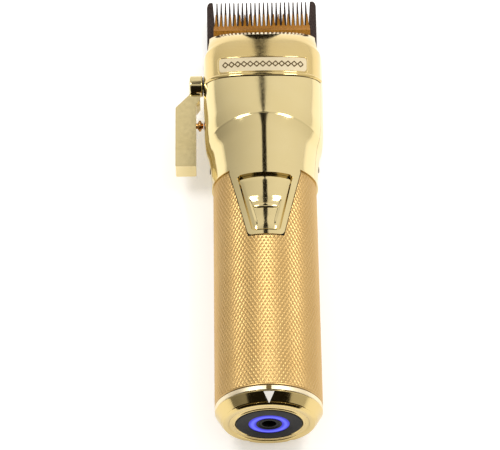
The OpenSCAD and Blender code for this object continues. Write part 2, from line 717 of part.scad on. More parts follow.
// A spool between the arm and the body, turned about X
module detent_pin() color(steel)
  translate([-arm_in, detent_y, lever_z]) rotate([0, 90, 0]) rotate_extrude()
  polygon([[0, 0], [1.1, 0], [1.1, 0.6], [2.2, 1.2], [2.2, 1.9], [1, 2.4], [1.5, 2.9], [0, 2.9]]);

cap_ring();
cap_arrow();
base_disc();
led_ring();
charge_jack();
charge_board();
battery_tube();
battery_cell();
cell_holder();
battery_top_cap();
battery_contacts();
trim_ring();
index_mark();
grip_sleeve();
battery_guide();
battery_catch_spring();
contact_block();
contact_pins();
inner_chassis();
control_board();
board_spacers();
switch_board();
micro_switch();
switch_stem();
switch_slider();
motor_leads();
motor_can();
motor_magnets();
motor_end_bell();
motor_bushes();
motor_mount_plate();
motor_screws();
motor_shaft();
armature();
commutator();
eccentric();
counterweight();
drive_pin();
front_housing();
front_cover();
label_plate();
rear_housing();
rating_plate();
housing_screws();
side_screws();
blade_seat();
blade_screws();
comb_blade();
cutter_blade();
cutter_yoke();
cutter_carriage();
carriage_screws();
tension_springs();
taper_lever();
lever_shaft();
lever_cam();
lever_bush();
lever_screw();
detent_pin();
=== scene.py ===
"""A cordless hair clipper: knurled grip, polished head, taper lever, switch and blades.

Sizes are in millimetres in the clipper's own frame, and turned to metres when a mesh is made:
+Y points to the blades, +Z to the switch side and +X to the right.
"""

import json
import logging
import math
from collections.abc import Callable, Iterable
from dataclasses import dataclass
from enum import Enum

import bmesh
import bpy
import numpy as np
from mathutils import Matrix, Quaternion, Vector


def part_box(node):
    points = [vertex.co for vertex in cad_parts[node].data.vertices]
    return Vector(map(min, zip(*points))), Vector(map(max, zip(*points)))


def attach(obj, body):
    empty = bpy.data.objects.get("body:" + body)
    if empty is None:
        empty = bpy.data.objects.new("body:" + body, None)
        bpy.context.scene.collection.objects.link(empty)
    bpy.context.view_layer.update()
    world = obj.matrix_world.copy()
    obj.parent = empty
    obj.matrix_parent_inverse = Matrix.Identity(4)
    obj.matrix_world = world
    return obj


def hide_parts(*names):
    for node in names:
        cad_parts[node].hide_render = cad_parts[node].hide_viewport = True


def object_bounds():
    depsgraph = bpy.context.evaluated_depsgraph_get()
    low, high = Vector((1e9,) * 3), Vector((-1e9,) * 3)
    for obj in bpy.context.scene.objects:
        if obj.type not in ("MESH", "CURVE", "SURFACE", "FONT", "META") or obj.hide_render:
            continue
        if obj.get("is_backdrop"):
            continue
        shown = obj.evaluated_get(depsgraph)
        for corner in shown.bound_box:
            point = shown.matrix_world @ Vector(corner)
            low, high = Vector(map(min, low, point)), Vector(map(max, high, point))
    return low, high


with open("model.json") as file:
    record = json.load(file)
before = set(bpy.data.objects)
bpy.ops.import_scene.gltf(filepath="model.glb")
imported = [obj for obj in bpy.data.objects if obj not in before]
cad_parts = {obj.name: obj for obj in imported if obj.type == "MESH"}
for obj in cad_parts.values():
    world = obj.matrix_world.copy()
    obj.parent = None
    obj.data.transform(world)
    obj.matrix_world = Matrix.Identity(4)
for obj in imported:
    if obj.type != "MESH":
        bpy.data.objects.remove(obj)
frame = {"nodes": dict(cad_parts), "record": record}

Piece, Material, Mesh = bpy.types.Object, bpy.types.Material, bmesh.types.BMesh
Tree, Node, Socket = bpy.types.NodeTree, bpy.types.Node, bpy.types.NodeSocket

MM = 0.001
LOG = logging.getLogger("clipper")
# how far apart the wave texture's bands lie at a scale of one
WAVE_LENGTH = 0.314


# ---------------------------------------------------------------- sizes and outlines


def box(node: str) -> tuple[np.ndarray, np.ndarray]:
    """Gives a node's lowest and highest corners in millimetres.

    Args:
        node: The node's name.

    Returns:
        The two corners.
    """
    low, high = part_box(node)
    return np.array(low) / MM, np.array(high) / MM


def signed_power(value: np.ndarray, power: np.ndarray) -> np.ndarray:
    """Raises a value to a power and keeps its sign."""
    return np.sign(value) * np.abs(value) ** power


def smooth_step(value: np.ndarray) -> np.ndarray:
    """Eases from 0 to 1 as the value goes from 0 to 1."""
    t = np.clip(value, 0.0, 1.0)
    return t * t * (3 - 2 * t)


class Profile:
    """A smooth line through (place, value) points that never overshoots them."""

    def __init__(self, *points: tuple[float, float]) -> None:
        """Stores the points and works out the slope at each.

        Args:
            points: Places in rising order, each with its value.
        """
        self.x, self.y = np.array(points, float).T
        step = np.diff(self.y) / np.diff(self.x)
        before, after = step[:-1], step[1:]
        same = before * after > 0
        self.slope = np.concatenate([step[:1], np.zeros(len(step) - 1), step[-1:]])
        self.slope[1:-1][same] = (2 * before * after)[same] / (before + after)[same]

    def __call__(self, at: np.ndarray) -> np.ndarray:
        """Gives the value at each place.

        Args:
            at: The places.

        Returns:
            The values there.
        """
        at = np.clip(at, self.x[0], self.x[-1])
        k = np.clip(np.searchsorted(self.x, at) - 1, 0, len(self.x) - 2)
        width = self.x[k + 1] - self.x[k]
        t = (at - self.x[k]) / width
        rise = self.y[k + 1] - self.y[k]
        bend = (self.slope[k] * (1 - t) - self.slope[k + 1] * t) * width * t * (1 - t)
        return self.y[k] + rise * t * t * (3 - 2 * t) + bend


def rounded(corners: Iterable[tuple[float, float]], radius: float, steps: int = 5) -> np.ndarray:
    """Rounds every corner of a closed outline.

    Args:
        corners: The outline's corners, in order.
        radius: How far from each corner the round starts, at most.
        steps: Points along each round.

    Returns:
        The outline's points.
    """
    points = np.array(list(corners), float)
    result = []
    for before, here, after in zip(np.roll(points, 1, 0), points, np.roll(points, -1, 0)):
        back, on = before - here, after - here
        reach = min(radius, 0.48 * np.linalg.norm(back), 0.48 * np.linalg.norm(on))
        start = here + back / np.linalg.norm(back) * reach
        end = here + on / np.linalg.norm(on) * reach
        for t in np.linspace(0, 1, steps):
            result.append((1 - t) ** 2 * start + 2 * t * (1 - t) * here + t * t * end)
    return np.array(result)


def on_tube(x: np.ndarray, y: np.ndarray, radius: np.ndarray | float) -> np.ndarray:
    """Lays points on the front of a tube about the grip's axis, by their x and y."""
    return np.stack(np.broadcast_arrays(x, y, np.sqrt(radius ** 2 - x ** 2)), -1)


# ---------------------------------------------------------------- meshes


class Axis(Enum):
    """The axis that a round piece turns about, with the order of its coordinates."""

    X = (1, 0, 2)
    Y = (0, 1, 2)
    Z = (0, 2, 1)


def make_object(name: str, points: np.ndarray, faces: list[tuple[int, ...]]) -> Piece:
    """Makes an object from points in millimetres.

    Args:
        name: The piece's name.
        points: One row for each point.
        faces: The points of each face, in order.

    Returns:
        The new object.
    """
    mesh = bpy.data.meshes.new(name)
    mesh.from_pydata((np.asarray(points, float).reshape(-1, 3) * MM).tolist(), [], faces)
    obj = bpy.data.objects.new(name, mesh)
    bpy.context.collection.objects.link(obj)
    return obj


def grid_faces(rows: int, columns: int, start: int = 0, ring: bool = False, loop: bool = False,
               hole: Callable[[int, int], bool] | None = None) -> list[tuple[int, ...]]:
    """Lists the faces of a grid of points, facing out where columns turn from +X to +Z.

    Args:
        rows: Rows of points.
        columns: Points in each row.
        start: The index of the first point.
        ring: Joins the last column to the first.
        loop: Joins the last row to the first.
        hole: Tells whether the face at a row and column is left out.

    Returns:
        The faces.
    """
    def at(i: int, j: int) -> int:
        """Gives a point's index."""
        return start + (i % rows) * columns + j % columns

    return [(at(i, j), at(i + 1, j), at(i + 1, j + 1), at(i, j + 1))
            for i in range(rows if loop else rows - 1)
            for j in range(columns if ring else columns - 1)
            if not (hole and hole(i, j))]


def edit(obj: Piece, work: Callable[[Mesh], None]) -> Piece:
    """Runs one piece of mesh work on an object.

    Args:
        obj: The object.
        work: What to do with its mesh.

    Returns:
        The same object.
    """
    mesh = bmesh.new()
    mesh.from_mesh(obj.data)
    work(mesh)
    mesh.to_mesh(obj.data)
    mesh.free()
    return obj


def slice_at(mesh: Mesh, y: float, way: float = 1.0, drop: bool = False) -> None:
    """Cuts edges right across a mesh at a station, and drops what lies past it where asked."""
    bmesh.ops.bisect_plane(mesh, geom=mesh.verts[:] + mesh.edges[:] + mesh.faces[:],
                           plane_co=(0, y * MM, 0), plane_no=(0, way, 0), clear_outer=drop)


def weld(mesh: Mesh) -> None:
    """Joins points that lie on each other."""
    bmesh.ops.remove_doubles(mesh, verts=mesh.verts, dist=0.002 * MM)


def close_up(mesh: Mesh) -> None:
    """Joins the points of a closed solid and turns its faces outwards."""
    weld(mesh)
    bmesh.ops.recalc_face_normals(mesh, faces=mesh.faces)


def lathe(name: str, profile: np.ndarray, axis: Axis = Axis.Y, centre: tuple[float, float] = (0, 0),
          steps: int = 160) -> Piece:
    """Turns a closed profile about an axis.

    Args:
        name: The piece's name.
        profile: (radius, station) points round the section.
        axis: The axis it turns about.
        centre: The axis's place in the other two coordinates.
        steps: Points round the axis.

    Returns:
        The new object.
    """
    turn = np.linspace(0, 2 * math.pi, steps, endpoint=False)
    radius, station = np.array(profile, float).T[:, :, None]
    across = centre[0] + radius * np.cos(turn)
    up = centre[1] + radius * np.sin(turn)
    along = np.broadcast_to(station, across.shape)
    points = np.stack([across, along, up], -1)[..., list(axis.value)]
    return edit(make_object(name, points, grid_faces(*across.shape, ring=True, loop=True)), close_up)


def prism(name: str, outline: np.ndarray, low: float, high: float) -> Piece:
    """Makes a solid from an outline and two heights.

    Args:
        name: The piece's name.
        outline: The outline's points in x and y.
        low: The height of its lower face.
        high: The height of its upper face.

    Returns:
        The new object.
    """
    count = len(outline)
    points = np.concatenate([np.column_stack([outline, np.full(count, z)]) for z in (low, high)])
    faces = [tuple(range(count)), tuple(range(count, 2 * count))]
    faces += [(k, (k + 1) % count, count + (k + 1) % count, count + k) for k in range(count)]
    return edit(make_object(name, points, faces), close_up)


def coil(name: str, start: np.ndarray, axis: np.ndarray, radius: float, wire: float,
         length: float, turns: float) -> Piece:
    """Winds a round wire into a coil.

    Args:
        name: The piece's name.
        start: The middle of the coil's first turn.
        axis: The way the coil runs, of length one.
        radius: From the axis to the middle of the wire.
        wire: The wire's diameter.
        length: The coil's length.
        turns: How many turns it has.

    Returns:
        The new object.
    """
    side = np.cross(axis, (0.0, 0.0, 1.0) if abs(axis[2]) < 0.9 else (0.0, 1.0, 0.0))
    side /= np.linalg.norm(side)
    up = np.cross(axis, side)
    rings, around = int(turns * 28), 10
    t = np.linspace(0, 1, rings)[:, None, None]
    spin = t * turns * 2 * math.pi
    out = np.cos(spin) * side + np.sin(spin) * up
    bead = np.linspace(0, 2 * math.pi, around, endpoint=False)[None, :, None]
    centre = start + axis * t * length + out * radius
    points = centre + wire / 2 * (np.cos(bead) * out + np.sin(bead) * axis)
    faces = grid_faces(rings, around, ring=True)
    last = (rings - 1) * around
    faces += [tuple(range(around)), tuple(range(last, last + around))]
    return edit(make_object(name, points, faces), close_up)


def thicken(obj: Piece, wall: float) -> Piece:
    """Gives a sheet a wall, on its inner side.

    Args:
        obj: The sheet.
        wall: The wall's thickness in millimetres.

    Returns:
        The same object.
    """
    made = obj.modifiers.new("wall", "SOLIDIFY")
    made.thickness, made.offset, made.use_even_offset = wall * MM, -1.0, True
    return obj


def sheet(name: str, points: np.ndarray, wall: float) -> Piece:
    """Makes a sheet with a wall from a grid of points.

    Args:
        name: The piece's name.
        points: Its points, by row and column.
        wall: The wall's thickness in millimetres.

    Returns:
        The new object.
    """
    return thicken(make_object(name, points, grid_faces(*points.shape[:2])), wall)


def soften(obj: Piece, width: float, steps: int = 3, angle: float = 35.0) -> Piece:
    """Rounds the sharp edges, as polishing or moulding leaves them.

    Args:
        obj: The piece.
        width: The width of the round in millimetres.
        steps: Faces across the round.
        angle: Edges flatter than this stay, in degrees.

    Returns:
        The same object.
    """
    obj.data.shade_smooth()
    made = obj.modifiers.new("soft_edges", "BEVEL")
    made.width, made.segments, made.limit_method = width * MM, steps, "ANGLE"
    made.angle_limit, made.harden_normals, made.use_clamp_overlap = math.radians(angle), True, True
    return obj


def bake(obj: Piece) -> Piece:
    """Makes an object's modifiers part of its mesh.

    Args:
        obj: The object.

    Returns:
        The same object.
    """
    scene = bpy.context.evaluated_depsgraph_get()
    mesh = bpy.data.meshes.new_from_object(obj.evaluated_get(scene))
    obj.modifiers.clear()
    obj.data = mesh
    return obj


def cut(obj: Piece, tool: Piece) -> Piece:
    """Cuts one solid out of another and removes the tool.

    Args:
        obj: The solid that stays.
        tool: The solid that is taken out of it.

    Returns:
        The first object.
    """
    made = obj.modifiers.new("cut", "BOOLEAN")
    made.operation, made.object, made.solver = "DIFFERENCE", tool, "EXACT"
    bake(obj)
    bpy.data.objects.remove(tool)
    return obj


def join(name: str, *parts: Piece) -> Piece:
    """Puts several meshes into one object.

    Args:
        name: The new piece's name.
        parts: The objects, which are removed.

    Returns:
        The new object.
    """
    points, faces = [], []
    for part in parts:
        start = len(points)
        points += [np.array(v.co) / MM for v in part.data.vertices]
        faces += [tuple(start + k for k in f.vertices) for f in part.data.polygons]
        bpy.data.objects.remove(part)
    return make_object(name, np.array(points), faces)


# ---------------------------------------------------------------- finishes


def linear(colour: str) -> tuple[float, float, float, float]:
    """Turns an sRGB colour such as #D9C07C to linear values with an alpha of one."""
    parts = [int(colour[k:k + 2], 16) / 255 for k in (1, 3, 5)]
    return (*[p / 12.92 if p <= 0.04045 else ((p + 0.055) / 1.055) ** 2.4 for p in parts], 1.0)


def add(tree: Tree, kind: str, values: dict | None = None, links: dict | None = None,
        **settings: object) -> Node:
    """Adds one node with its settings and links.

    Args:
        tree: The material's node tree.
        kind: The node's type.
        values: Values for its inputs, by name or number.
        links: Sockets to join to its inputs, by name or number.
        settings: Its other settings.

    Returns:
        The new node.
    """
    node = tree.nodes.new(kind)
    for name, value in settings.items():
        setattr(node, name, value)
    for name, value in (values or {}).items():
        node.inputs[name].default_value = value
    for name, socket in (links or {}).items():
        tree.links.new(socket, node.inputs[name])
    return node


def per_metre(size: float) -> float:
    """Gives the pattern scale whose features are this many millimetres apart."""
    return 1.0 / (size * MM)


class Marks(Enum):
    """The marks that a surface's making leaves, as a stretch of the grain along X, Y and Z."""

    EVEN = (1.0, 1.0, 1.0)
    GROUND = (1.0, 0.04, 1.0)
    TURNED = (0.05, 1.0, 0.05)
    LAPPED = (0.04, 1.0, 1.0)


def start_material(name: str) -> tuple[Material, Tree, Node]:
    """Makes a material with an empty shader.

    Args:
        name: The material's name.

    Returns:
        The material, its node tree and its shader.
    """
    material = bpy.data.materials.new(name)
    material.use_nodes = True
    tree = material.node_tree
    tree.nodes.clear()
    shader = add(tree, "ShaderNodeBsdfPrincipled")
    add(tree, "ShaderNodeOutputMaterial", links={"Surface": shader.outputs[0]})
    return material, tree, shader


@dataclass(frozen=True)
class Finish:
    """A finish with its name and its two shades."""

    name: str
    colour: str
    shade: str

    def build(self) -> Material:
        """Builds the material.

        Returns:
            The material.
        """
        material, tree, shader = start_material(self.name)
        self.paint(tree, shader, add(tree, "ShaderNodeTexCoord").outputs["Object"])
        return material

    def paint(self, tree: Tree, shader: Node, place: Socket) -> None:
        """Adds the finish's own nodes; each kind of finish has its own.

        Args:
            tree: The material's node tree.
            shader: The shader.
            place: Gives each point's place on the piece.
        """
        raise NotImplementedError

    def shades(self, tree: Tree, shader: Node, by: Socket,
               target: str = "Base Color") -> None:
        """Lets the colour wander from the first shade to the second.

        Args:
            tree: The material's node tree.
            shader: The shader.
            by: Says how much of the second shade there is.
            target: The shader's input that takes the colour.
        """
        colour = add(tree, "ShaderNodeMix", {6: linear(self.colour), 7: linear(self.shade)}, {0: by},
                     data_type="RGBA")
        tree.links.new(colour.outputs[2], shader.inputs[target])


@dataclass(frozen=True)
class Metal(Finish):
    """A metal or metal coating.

    Its colour wanders between two shades, and the grain sets how its gloss and its relief vary.
    """

    roughness: float
    spread: float = 0.04
    grain: float = 0.4
    relief: float = 0.0
    marks: Marks = Marks.EVEN
    patch: float = 14.0

    def paint(self, tree: Tree, shader: Node, place: Socket) -> None:
        """Adds the shades, the gloss and the marks of its making."""
        stretched = add(tree, "ShaderNodeMapping", {"Scale": self.marks.value}, {"Vector": place})
        patches = add(tree, "ShaderNodeTexNoise", {"Scale": per_metre(self.patch), "Detail": 2.0},
                      {"Vector": place})
        grain = add(tree, "ShaderNodeTexNoise", {"Scale": per_metre(self.grain), "Detail": 3.0},
                    {"Vector": stretched.outputs[0]})
        rough = add(tree, "ShaderNodeMapRange", {1: 0.3, 2: 0.7, 3: self.roughness - self.spread / 2,
                                                 4: self.roughness + self.spread}, {0: grain.outputs[0]})
        self.shades(tree, shader, patches.outputs[0])
        tree.links.new(rough.outputs[0], shader.inputs["Roughness"])
        shader.inputs["Metallic"].default_value = 1.0
        bump = add(tree, "ShaderNodeBump", {"Strength": 1.0, "Distance": self.relief * MM},
                   {"Height": grain.outputs[0]})
        tree.links.new(bump.outputs[0], shader.inputs["Normal"])


@dataclass(frozen=True)
class Plastic(Finish):
    """A moulded or coated plastic, with the grain of its mould and a faint mottle."""

    roughness: float
    grain: float = 0.25
    relief: float = 0.01
    coat: float = 0.0
    ior: float = 1.5

    def paint(self, tree: Tree, shader: Node, place: Socket) -> None:
        """Adds the mottle and the grain."""
        mottle = add(tree, "ShaderNodeTexNoise", {"Scale": per_metre(9.0), "Detail": 3.0}, {"Vector": place})
        grain = add(tree, "ShaderNodeTexNoise", {"Scale": per_metre(self.grain), "Detail": 2.0},
                    {"Vector": place})
        rough = add(tree, "ShaderNodeMapRange", {1: 0.3, 2: 0.7, 3: self.roughness - 0.05,
                                                 4: self.roughness + 0.07}, {0: mottle.outputs[0]})
        bump = add(tree, "ShaderNodeBump", {"Strength": 0.6, "Distance": self.relief * MM},
                   {"Height": grain.outputs[0]})
        self.shades(tree, shader, mottle.outputs[0])
        tree.links.new(rough.outputs[0], shader.inputs["Roughness"])
        tree.links.new(bump.outputs[0], shader.inputs["Normal"])
        shader.inputs["IOR"].default_value = self.ior
        shader.inputs["Coat Weight"].default_value = self.coat


@dataclass(frozen=True)
class LitGuide(Finish):
    """A lit ring of clear acrylic over blue lamps, brightest along the middle of its width."""

    middle: float
    width: float
    strength: float

    def paint(self, tree: Tree, shader: Node, place: Socket) -> None:
        """Adds the glow, which fades to both edges and wanders from lamp to lamp."""
        across = add(tree, "ShaderNodeMapping", {"Scale": (1.0, 0.0, 1.0)}, {"Vector": place})
        radius = add(tree, "ShaderNodeVectorMath", links={0: across.outputs[0]}, operation="LENGTH")
        off = add(tree, "ShaderNodeMath", {1: self.middle * MM}, {0: radius.outputs["Value"]},
                  operation="SUBTRACT")
        away = add(tree, "ShaderNodeMath", links={0: off.outputs[0]}, operation="ABSOLUTE")
        glow = add(tree, "ShaderNodeMapRange", {1: 0.0, 2: self.width / 2 * MM, 3: 0.0, 4: 1.0},
                   {0: away.outputs[0]}, interpolation_type="SMOOTHSTEP")
        lamps = add(tree, "ShaderNodeTexNoise", {"Scale": per_metre(3.5), "Detail": 1.0}, {"Vector": place})
        uneven = add(tree, "ShaderNodeMath", {1: 0.25}, {0: lamps.outputs[0]}, operation="MULTIPLY")
        mix = add(tree, "ShaderNodeMath", links={0: glow.outputs[0], 1: uneven.outputs[0]},
                  operation="ADD", use_clamp=True)
        self.shades(tree, shader, mix.outputs[0], "Emission Color")
        for name, value in (("Base Color", linear("#0A0A30")), ("IOR", 1.3), ("Roughness", 0.25),
                            ("Emission Strength", self.strength)):
            shader.inputs[name].default_value = value


@dataclass(frozen=True)
class Banded(Finish):
    """A surface with fine bands along one axis: wound wire or the tracks of a board."""

    pitch: float
    roughness: float
    metallic: float
    relief: float
    direction: str = "Y"

    def paint(self, tree: Tree, shader: Node, place: Socket) -> None:
        """Adds the bands, dark between them, and their relief; on wound wire the dark between the turns is
        painted shade in the grooves, on a board it is the mask's own colour.
        """
        bands = add(tree, "ShaderNodeTexWave", {"Scale": per_metre(self.pitch) * WAVE_LENGTH,
                                                "Distortion": 0.6},
                    {"Vector": place}, bands_direction=self.direction)
        bump = add(tree, "ShaderNodeBump", {"Strength": 1.0, "Distance": self.relief * MM},
                   {"Height": bands.outputs[0]})
        self.shades(tree, shader, bands.outputs[0])
        tree.links.new(bump.outputs[0], shader.inputs["Normal"])
        shader.inputs["Roughness"].default_value = self.roughness
        shader.inputs["Metallic"].default_value = self.metallic


# One finish for each material slot of the clipper.
FINISHES = {
    # Zinc casting, polished and plated pale gold: a clear mirror with a faint hand-polished haze.
    "polished_gold": Metal("plated_zinc_polished_pale_gold", "#E0D0A0", "#DAC892", 0.09, 0.03, 1.6,
                           0.0004),
    # The same casting with a deeper gold plate: warmer mirror on the cover and its rim.
    "polished_gold_deep": Metal("plated_zinc_polished_deep_gold", "#D8C38A", "#D2B878", 0.10, 0.03, 1.6,
                                0.0004),
    # Aluminium tube, cut with a diamond knurl and anodised gold: many small satin glints.
    "knurled_gold": Metal("anodised_aluminium_knurled_gold", "#C9AA72", "#BD9A60", 0.38, 0.08, 0.35,
                          0.003),
    # Aluminium, bead-blasted and anodised champagne: a soft grainy sheen.
    "satin_champagne": Metal("anodised_aluminium_satin_champagne", "#EDE1C4", "#E4D4AE", 0.38, 0.08, 0.22,
                             0.005),
    # Filled enamel in a cut recess: a plain glossy white.
    "white_enamel": Plastic("enamel_filled_white", "#F7F4EE", "#ECE8DE", 0.16, 0.5, 0.002, 0.4, 1.52),
    # ABS moulded in a polished tool: deep black with a soft gloss.
    "black_abs": Plastic("abs_moulded_black", "#0D0B0A", "#090808", 0.34, 0.3, 0.003, 0.0, 1.2),
    # Brass mark, pressed in and chemically browned.
    "dark_bronze": Metal("brass_browned", "#6E5C38", "#57472A", 0.4, 0.08, 0.3, 0.004),
    "blue_light": LitGuide("acrylic_light_guide_blue", "#646EFF", "#2A20D8", 6.2, 2.8, 1.0),
    # Glass-filled nylon: matt dark grey with the grain of its mould.
    "dark_plastic": Plastic("nylon_moulded_dark_grey", "#2C2D30", "#222326", 0.52, 0.2, 0.014),
    # Acetal, milled or moulded: slippery off-white.
    "white_plastic": Plastic("acetal_moulded_white", "#E9E7E0", "#DAD7CD", 0.38, 0.3, 0.006, 0.1, 1.48),
    # Glass-fibre board under green solder mask, with the tracks showing as faint bands.
    "green_board": Banded("solder_mask_green_board", "#175431", "#2A7A48", 1.3, 0.35, 0.0, 0.02, "X"),
    # Heat-shrunk sleeve on the cell: thin glossy blue film.
    "cell_wrap": Plastic("pvc_shrink_wrap_blue", "#2C7DB3", "#23699A", 0.24, 1.2, 0.02, 0.3),
    # Brass, turned on a lathe: fine rings and a warm gleam.
    "brass": Metal("brass_turned", "#C99A5A", "#B5824A", 0.22, 0.08, 0.25, 0.004, Marks.TURNED),
    # Hard-drawn spring wire: grey with lines along it.
    "spring_steel": Metal("spring_steel_drawn", "#A4A6AA", "#8C8F94", 0.28, 0.08, 0.2, 0.003, Marks.LAPPED),
    # Mild steel, turned or stamped and nickel plated: plain bright grey.
    "steel": Metal("nickel_plated_steel_machined", "#BFC1C4", "#A6A9AD", 0.26, 0.08, 0.25, 0.003,
                   Marks.TURNED),
    # Steel screws, chemically blackened: dark with a dull gleam.
    "black_steel": Metal("steel_blackened", "#3A3836", "#2A2928", 0.34, 0.08, 0.2, 0.004),
    # Blade steel, ground and coated graphite: dark grey-brown with long grinding lines.
    "graphite_steel": Metal("blade_steel_ground_graphite", "#574B47", "#453B38", 0.26, 0.10, 0.16, 0.004,
                            Marks.GROUND),
    # Blade steel, ground and coated titanium gold: warm bronze gold with grinding lines.
    "gold_steel": Metal("blade_steel_ground_gold", "#C08738", "#A86F24", 0.24, 0.10, 0.16, 0.004,
                        Marks.GROUND),
    # Sintered ferrite: dark, dull and slightly pitted.
    "magnet": Plastic("ferrite_sintered", "#2E2D2C", "#232221", 0.6, 0.3, 0.03),
    # Enamelled copper wire, wound in close turns; the darker colour between the turns is painted shade in the
    # grooves between them.
    "copper": Banded("copper_wire_wound_with_painted_groove_shade", "#7C3B1A", "#C9733C", 0.45, 0.3, 1.0, 0.12),
    # Silicone-sheathed lead: soft red.
    "wire_red": Plastic("silicone_sheath_red", "#A32A22", "#8C2019", 0.45, 0.6, 0.01),
}
SLOT_OF = {row["node"]: row["material_slot"] for row in frame["record"]["subparts"]}
BUILT: dict[str, Material] = {}
STOOD_FOR: set[str] = set()


def finish_of(slot: str) -> Material:
    """Gives a slot's material, built once."""
    if slot not in BUILT:
        BUILT[slot] = FINISHES[slot].build()
    return BUILT[slot]


def dress(obj: Piece, body: str, slot: str, *nodes: str) -> Piece:
    """Gives a piece its finish, its body and the nodes that it stands for.

    Args:
        obj: The piece.
        body: The body that it moves with.
        slot: The material slot that it takes its finish from.
        nodes: The nodes that it replaces.

    Returns:
        The same object.
    """
    obj.data.materials.clear()
    obj.data.materials.append(finish_of(slot))
    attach(obj, body)
    if nodes:
        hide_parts(*nodes)
        STOOD_FOR.update(nodes)
    LOG.info("%s rides on %s in %s", obj.name, body, slot)
    return obj


# ---------------------------------------------------------------- head


@dataclass
class HeadSkin:
    """The outer surface of the head, by angle from +X towards +Z and distance from the neck.

    The section is a circle at the neck and squares up towards the blades. The front face breaks
    along a bowed crease, slopes down to the cover's seam and rolls over at the lip.
    """

    neck_y: float
    grip_r: float
    side_w: float
    head_len: float
    lip_u: float
    crease_u: float = 23.4
    crease_bow: float = 5.4
    seam_u: float = 42.5
    seam_bow: float = 2.8
    seam_z: float = 16.5
    lip_z: float = 0.8
    bead: float = 0.16

    def __post_init__(self) -> None:
        """Draws the smooth lines that the sections follow."""
        self.neck_r = self.grip_r + 0.6
        self.half_width = Profile((0, self.neck_r), (5.4, self.neck_r), (18, self.neck_r + 1),
                                  (24, self.side_w - 0.8), (30, self.side_w - 0.3), (56, self.side_w),
                                  (66, self.side_w), (69, self.side_w - 0.9), (75, self.side_w - 1.6))
        self.front_low = Profile((0, self.neck_r), (self.crease_u, self.neck_r + 0.2))
        self.front_high = Profile((self.crease_u, self.neck_r + 0.2), (self.seam_u, self.seam_z),
                                  (self.lip_u - 17.6, 12.0), (self.lip_u - 8.6, 7.6),
                                  (self.lip_u - 3.6, 4.4), (self.lip_u, self.lip_z))
        self.back = Profile((0, self.neck_r), (4, self.grip_r), (self.head_len - 7, self.grip_r),
                            (self.head_len, self.grip_r - 0.9))
        self.middle = Profile((0, 0), (30, -1), (self.head_len, -4), (self.lip_u, -8))
        self.squareness = Profile((0, 2), (16, 2), (30, 2.5), (50, 2.8), (70, 3))

    def at(self, angle: np.ndarray, u: np.ndarray, inset: float = 0.0) -> np.ndarray:
        """Gives points of the skin.

        Args:
            angle: Angles from +X towards +Z, in radians.
            u: Distances from the neck.
            inset: How far the points lie inside the skin.

        Returns:
            The points, with their coordinates last.
        """
        angle, u = np.broadcast_arrays(np.asarray(angle, float), np.asarray(u, float))
        cos, sin = np.cos(angle), np.sin(angle)
        bowed = u + self.crease_bow * cos ** 2
        power = 2 / self.squareness(bowed)
        middle = self.middle(u)
        fade = 1 - smooth_step((u - self.crease_u) / (self.seam_u - self.crease_u))
        place = u + self.crease_bow * cos ** 2 * fade
        bead = self.bead * np.exp(-((place - self.crease_u + 0.35) / 0.4) ** 2)
        front = np.where(place < self.crease_u, self.front_low(place), self.front_high(place)) + bead
        back = np.minimum(self.back(u), self.grip_r - 0.1) + middle - inset
        height = np.where(sin > 0, front - middle - inset, back)
        return np.stack([(self.half_width(bowed) - inset) * signed_power(cos, power), self.neck_y + u,
                         middle + height * signed_power(sin, power)], -1)

    def crease(self, angle: np.ndarray) -> np.ndarray:
        """Gives the distance of the crease from the neck at each angle."""
        return self.crease_u - self.crease_bow * np.cos(angle) ** 2

    def seam(self, angle: np.ndarray) -> np.ndarray:
        """Gives the distance of the cover's seam from the neck at each angle."""
        return self.seam_u + self.seam_bow * np.cos(angle) ** 2


